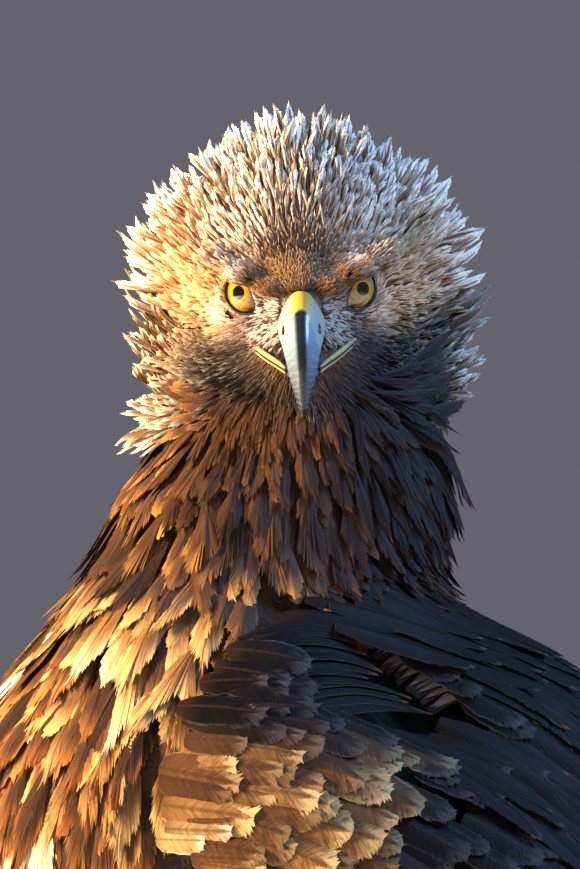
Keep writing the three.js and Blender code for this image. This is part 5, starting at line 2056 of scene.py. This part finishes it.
@dataclass
class Bill:
    """The upper bill with its cere and nostrils, the lower bill, and the gape."""

    cere_line: tuple[tuple[float, float], ...] = (
        (13, -6.8), (22, -6.2), (32, -6.6), (41.5, -12.3), (47.3, -21.7), (49.6, -30), (50.3, -37.6),
    )
    shares: tuple[float, ...] = (0, 0.3, 0.42, 0.6, 0.78, 0.9, 1)
    wide: tuple[float, ...] = (9.2, 9.1, 8.3, 6.1, 3.7, 2.2, 0.5)
    deep: tuple[float, ...] = (12.9, 12.3, 10.9, 8.4, 5.4, 3.1, 0.6)
    rings: int = 110
    nostril: Triple = (35.5, 7.2, -4.4)
    slant: float = math.radians(35)
    gape: tuple[Triple, ...] = (
        (1, 27.2, -14.2), (11, 22.2, -17), (22, 15.4, -19.2), (31, 9.8, -20.2), (36, 7.2, -20.8),
    )
    jaw_line: tuple[tuple[float, float], ...] = ((6, -24.5), (20, -24), (33, -23.4), (42.4, -22.6))

    def section(self, s: float, angle: Array) -> tuple[Array, Array]:
        """The upper bill: a narrow ridge above, full sides, and a step down off the cere."""
        step = 1 + 0.045 * fade(np.array(s), 0.37, 0.41)
        ridge = 1 - 0.3 * np.abs(np.cos(angle)) * smooth(np.sin(angle), -0.1, 1)
        wide, deep = (np.interp(s, self.shares, sizes) for sizes in (self.wide, self.deep))
        return wide * ridge * step, deep * step

    def pitted(self, rings: Array) -> tuple[Array, Array]:
        """Presses the nostrils into rings of points, and gives how far each point lies in one."""
        pits = np.zeros(rings.shape[:2])
        cos, sin = math.cos(self.slant), math.sin(self.slant)
        ahead, left, up = self.nostril
        for side in (1, -1):
            x, y, z = np.moveaxis((rings - from_head(ahead, side * left, up)) @ HEAD[:3, :3], -1, 0)
            long, high = x * cos - z * sin, x * sin + z * cos
            pit = fade(np.sqrt((long / 2.7) ** 2 + (high / 1.7) ** 2 + (y / 4) ** 2), 0.55, 1.15)
            rings = rings - HEAD[:3, 1] * (side * 2.0 * pit)[..., None]
            pits = np.maximum(pits, pit)
        return rings, pits

    def upper(self, around: int = 72) -> None:
        """Makes the upper bill."""
        shares = np.linspace(0, 1, self.rings)
        path = spline(np.array([from_head(x, 0, z) for x, z in self.cere_line]), self.rings)
        rings, pits = self.pitted(Loft.rings(path, HEAD[:3, 1], self.section, around))
        bm = Loft.made(rings)
        layer = bm.loops.layers.uv.new("Bill")
        hole = bm.verts.layers.float.new("nostril")
        bm.verts.ensure_lookup_table()
        for vert in bm.verts[: pits.size]:
            vert[hole] = float(pits.flat[vert.index])
        for face in bm.faces:
            seam = any(loop.vert.index % around == around - 1 for loop in face.loops)
            for loop in face.loops:
                ring, k = divmod(loop.vert.index, around)
                loop[layer].uv = (1.0 if seam and k == 0 else k / around, shares[min(ring, self.rings - 1)])
        settle(object_from(bm, "bill_upper_horn", BillFinish().material()), "bill_upper", "bill_upper")

    def lip(self, side: int, inset: float, height: float, radius: float) -> Shell:
        """A round lip along the gape, on one side."""
        points = np.array([from_head(x, side * (y - inset), height + z) for x, y, z in self.gape])
        fat = lambda s, _: (radius * np.interp(s, [0, 0.12, 0.5, 0.75, 1], [0.4, 1.0, 1.6, 1.4, 0.7]),) * 2
        return Loft.made(Loft.rings(spline(points, 30), Z, fat, 14))

    def lower(self) -> None:
        """Makes the lips of the gape, the dark line between them, and the lower bill."""
        lips = [self.lip(side, 0, *form) for side in (1, -1) for form in ((0.1, 0.66), (-2.1, 0.46))]
        line = [self.lip(side, 0.6, -1.0, 0.9) for side in (1, -1)]
        points = np.array([from_head(x, 0, z) for x, z in self.jaw_line])
        size = lambda s, _: (np.interp(s, [0, 0.4, 0.8, 1], [12, 9.6, 6.2, 2.5]), mix(5.2, 2.6, s))
        jaw = Loft.made(Loft.rings(spline(points, 30), HEAD[:3, 1], size, 32))
        mouth = PlainFinish("mouth_dark", tint("2a1d16"), tint("16100c"), 260, 0.5, 0.1, 0.2)
        skin = PlainFinish("gape_yellow", tint("b39c52"), tint("8f8664"), 260, 0.42, 0.25, 0.2)
        horn = PlainFinish("lower_horn", tint("4b555f"), tint("2a3036"), 200, 0.35, 0.15, 0.3)
        settle(object_from(joined(line), "mouth_line", mouth.material()), "bill_lower", "bill_lower")
        settle(object_from(joined(lips), "gape_lips", skin.material()), "bill_upper", "bill_upper")
        settle(object_from(jaw, "bill_lower_horn", horn.material()), "bill_lower", "bill_lower")


@dataclass(frozen=True)
class Toe:
    """A toe: heading out from straight ahead in degrees, length, radius, and its claw's length."""

    name: str
    heading: float
    length: float
    radius: float
    claw: float

    def path(self, side: Side, start: float, run: float, places: tuple, count: int) -> Array:
        """A curve out along the toe.

        Args:
            side: Which foot.
            start: Millimetres from the foot's middle to where it starts.
            run: Its length over the floor.
            places: Its knots, as share of that length and height over the floor.
            count: How many points it has.

        Returns:
            The points.
        """
        heading = math.radians(-side.value * self.heading)
        way = np.array([math.sin(heading), -math.cos(heading), 0])
        sole = Foot.sole(side) + way * start
        knots = [[*(sole + way * share * run)[:2], height] for share, height in places]
        return spline(np.array(knots), count)


TOES = (
    Toe("inner", 38, 46, 8.6, 40),
    Toe("middle", 2, 66, 8.0, 34),
    Toe("outer", -36, 50, 7.4, 27),
    Toe("hind", 172, 34, 9.0, 44),
)


@dataclass
class Foot:
    """Scaly toes, the sole, and their claws."""

    side: Side
    scutes: int = 9
    palm: Triple = (15, 17, 13)
    claw_line: tuple[tuple[float, float], ...] = ((0, 9.5), (0.3, 12.5), (0.58, 11.5), (0.78, 7), (0.86, 1.6))

    @staticmethod
    def sole(side: Side) -> Array:
        """The middle of a foot."""
        return np.array([side.value * FOOT_SPREAD, FOOT_BACK, 16.0])

    def toe(self, toe: Toe) -> Shell:
        """A toe with raised scutes above and pads below."""
        low = toe.radius * 0.84
        places = ((0.04, 15), (0.36, low + 3.5), (0.68, low), (1, low))

        def section(s: float, angle: Array) -> tuple[Array, Array]:
            """Round, narrowing to the claw, stepped by scutes above and by pads below."""
            end = math.sqrt(min(max((1.02 - s) * 7, 0), 1))
            size = toe.radius * (1 + 0.08 * math.cos(s * math.pi * 6)) * end * (1.08 - 0.14 * s)
            step = (s * self.scutes * toe.length / 50) % 1
            plate = 0.06 * (1 - step) ** 0.6 * smooth(np.sin(angle), 0.1, 0.5)
            return (size * (1 - 0.05 + plate),) * 2

        return Loft.made(Loft.rings(toe.path(self.side, 0, toe.length, places, 70), Z, section, 24))

    def claw(self, toe: Toe) -> Shell:
        """A talon curving down to its point."""
        path = toe.path(self.side, toe.length - 5.5, toe.claw, self.claw_line, 26)
        taper = lambda s: toe.radius * 0.62 * (1 - s**1.4) + 0.35
        return Loft.made(Loft.rings(path, Z, lambda s, _: (taper(s) * 0.86, taper(s)), 16))

    def build(self, skin: Material, horn: Material) -> None:
        """Makes the foot and its claws.

        Args:
            skin: Finish of the toes.
            horn: Finish of the claws.
        """
        label, palm = self.side.label, ball(32, 20)
        for vert in palm.verts:
            vert.co = scene_points(self.sole(self.side) + np.array(vert.co) * self.palm)
        made = joined([*(self.toe(toe) for toe in TOES), palm])
        for vert in made.verts:
            vert.co.z = max(vert.co.z, 0.0)
        settle(object_from(made, f"toes_{label}", skin, 40), f"foot_{label}", f"foot_{label}")
        for toe in TOES:
            node = f"claw_{label}_{toe.name}"
            settle(object_from(self.claw(toe), f"talon_{label}_{toe.name}", horn), node, node)


@dataclass
class Studio:
    """The pale floor, the soft lights and the camera."""

    distance: float = 4000.0
    centre: Triple = (HEAD_SHIFT, -4.5, 531.0)
    sensor: float = 24.0
    floor_radius: float = 5.0
    floor_level: float = -0.0004

    def floor(self) -> None:
        """A round pale floor, in metres."""
        bm = bmesh.new()
        bmesh.ops.create_circle(bm, cap_ends=True, segments=128, radius=self.floor_radius)
        for vert in bm.verts:
            vert.co.z = self.floor_level
        finish = PlainFinish("floor_pale", tint("c9c6c1"), tint("bfbcb7"), 2, 0.8, 0.02)
        object_from(bm, "floor", finish.material())

    def light(
        self, name: str, place: Triple, size: float, power: float, colour: Triple, shine: bool = False
    ) -> None:
        """A square soft light aimed at the head.

        Args:
            name: Its name.
            place: Millimetres in the bird's frame.
            size: Metres on a side.
            power: Watts.
            colour: Its colour.
            shine: Whether glossy things mirror it.
        """
        data = bpy.data.lights.new(name, "AREA")
        data.shape, data.size, data.energy, data.color = "SQUARE", size, power, colour
        lamp = bpy.data.objects.new(name, data)
        lamp.visible_glossy = shine
        bpy.context.scene.collection.objects.link(lamp)
        lamp.location = scene_points(np.array(place, float))
        aim = Vector(scene_points(np.array(self.centre))) - lamp.location
        lamp.rotation_euler = aim.to_track_quat("-Z", "Y").to_euler()

    def camera(self) -> None:
        """A long lens level with the bird's head, on the photograph's side."""
        data = bpy.data.cameras.new("camera")
        data.sensor_fit, data.sensor_height = "VERTICAL", self.sensor
        data.lens = self.sensor * self.distance / (IMAGE_SIZE[1] * PIXEL)
        data.clip_end = 50
        camera = bpy.data.objects.new("camera", data)
        bpy.context.scene.collection.objects.link(camera)
        camera.location = scene_points(np.array(self.centre) + X * self.distance)
        camera.rotation_euler = (math.pi / 2, 0, math.pi / 2)
        bpy.context.scene.camera = camera

    def build(self) -> None:
        """Sets up the whole studio."""
        self.camera()
        self.floor()
        self.light("key_warm", (420, -2900, 1180), 0.45, 560, (1.0, 0.8, 0.56))
        self.light("sky_cool", (700, 2200, 2500), 1.2, 165, (0.24, 0.48, 1.0), True)
        self.light("front_soft", (3200, -500, 1700), 2.0, 5, (0.85, 0.92, 1.0))
        world = bpy.data.worlds.new("studio")
        world.use_nodes = True
        back = world.node_tree.nodes["Background"]
        back.inputs["Color"].default_value = (0.13, 0.125, 0.148, 1)
        back.inputs["Strength"].default_value = 1.0
        bpy.context.scene.world = world
        bpy.context.scene.view_settings.view_transform = "Standard"


def build_eyes() -> None:
    """Makes both eyeballs, and the lids, rims and sockets as a piece each."""
    lid = PlainFinish("lid_grey", tint("96907f"), tint("5c564c"), 700, 0.6, 0.5)
    rim = PlainFinish("lid_rim", tint("16110e"), tint("0c0908"), 300, 0.3, 0.1, 0.5)
    down = PlainFinish("socket_down", Palette.brown, Palette.umber, 300, 0.85, 0.6)
    parts = zip(*(Eye(side).build() for side in Side))
    for name, made, finish in zip(("eyelids", "eye_rims", "eye_sockets"), parts, (lid, rim, down)):
        settle(object_from(joined(list(made)), name, finish.material(), 80), "head")


def main() -> None:
    """Builds the bird piece by piece, then the studio."""
    logging.basicConfig(level=logging.INFO, format="%(name)s: %(message)s")
    Studio().build()
    LOG.info("studio")
    skin = Skin()
    skin.build()
    LOG.info("skin: %d triangles", len(skin.triangles))
    HeadCoat(skin).build()
    BodyCoat(skin).build()
    for side in Side:
        Wing(side, skin).build()
    Tail(skin).build()
    build_eyes()
    LOG.info("eyes")
    bill = Bill()
    bill.upper()
    bill.lower()
    LOG.info("bill")
    toes = PlainFinish("toe_yellow", tint("d8b340"), tint("a98527"), 420, 0.5, 0.5, 0.1).material()
    talons = PlainFinish("talon_black", tint("1b1a1c"), tint("0b0b0d"), 240, 0.22, 0.08, 0.5).material()
    for side in Side:
        Foot(side).build(toes, talons)
    LOG.info("feet")


if __name__ == "__main__":
    main()
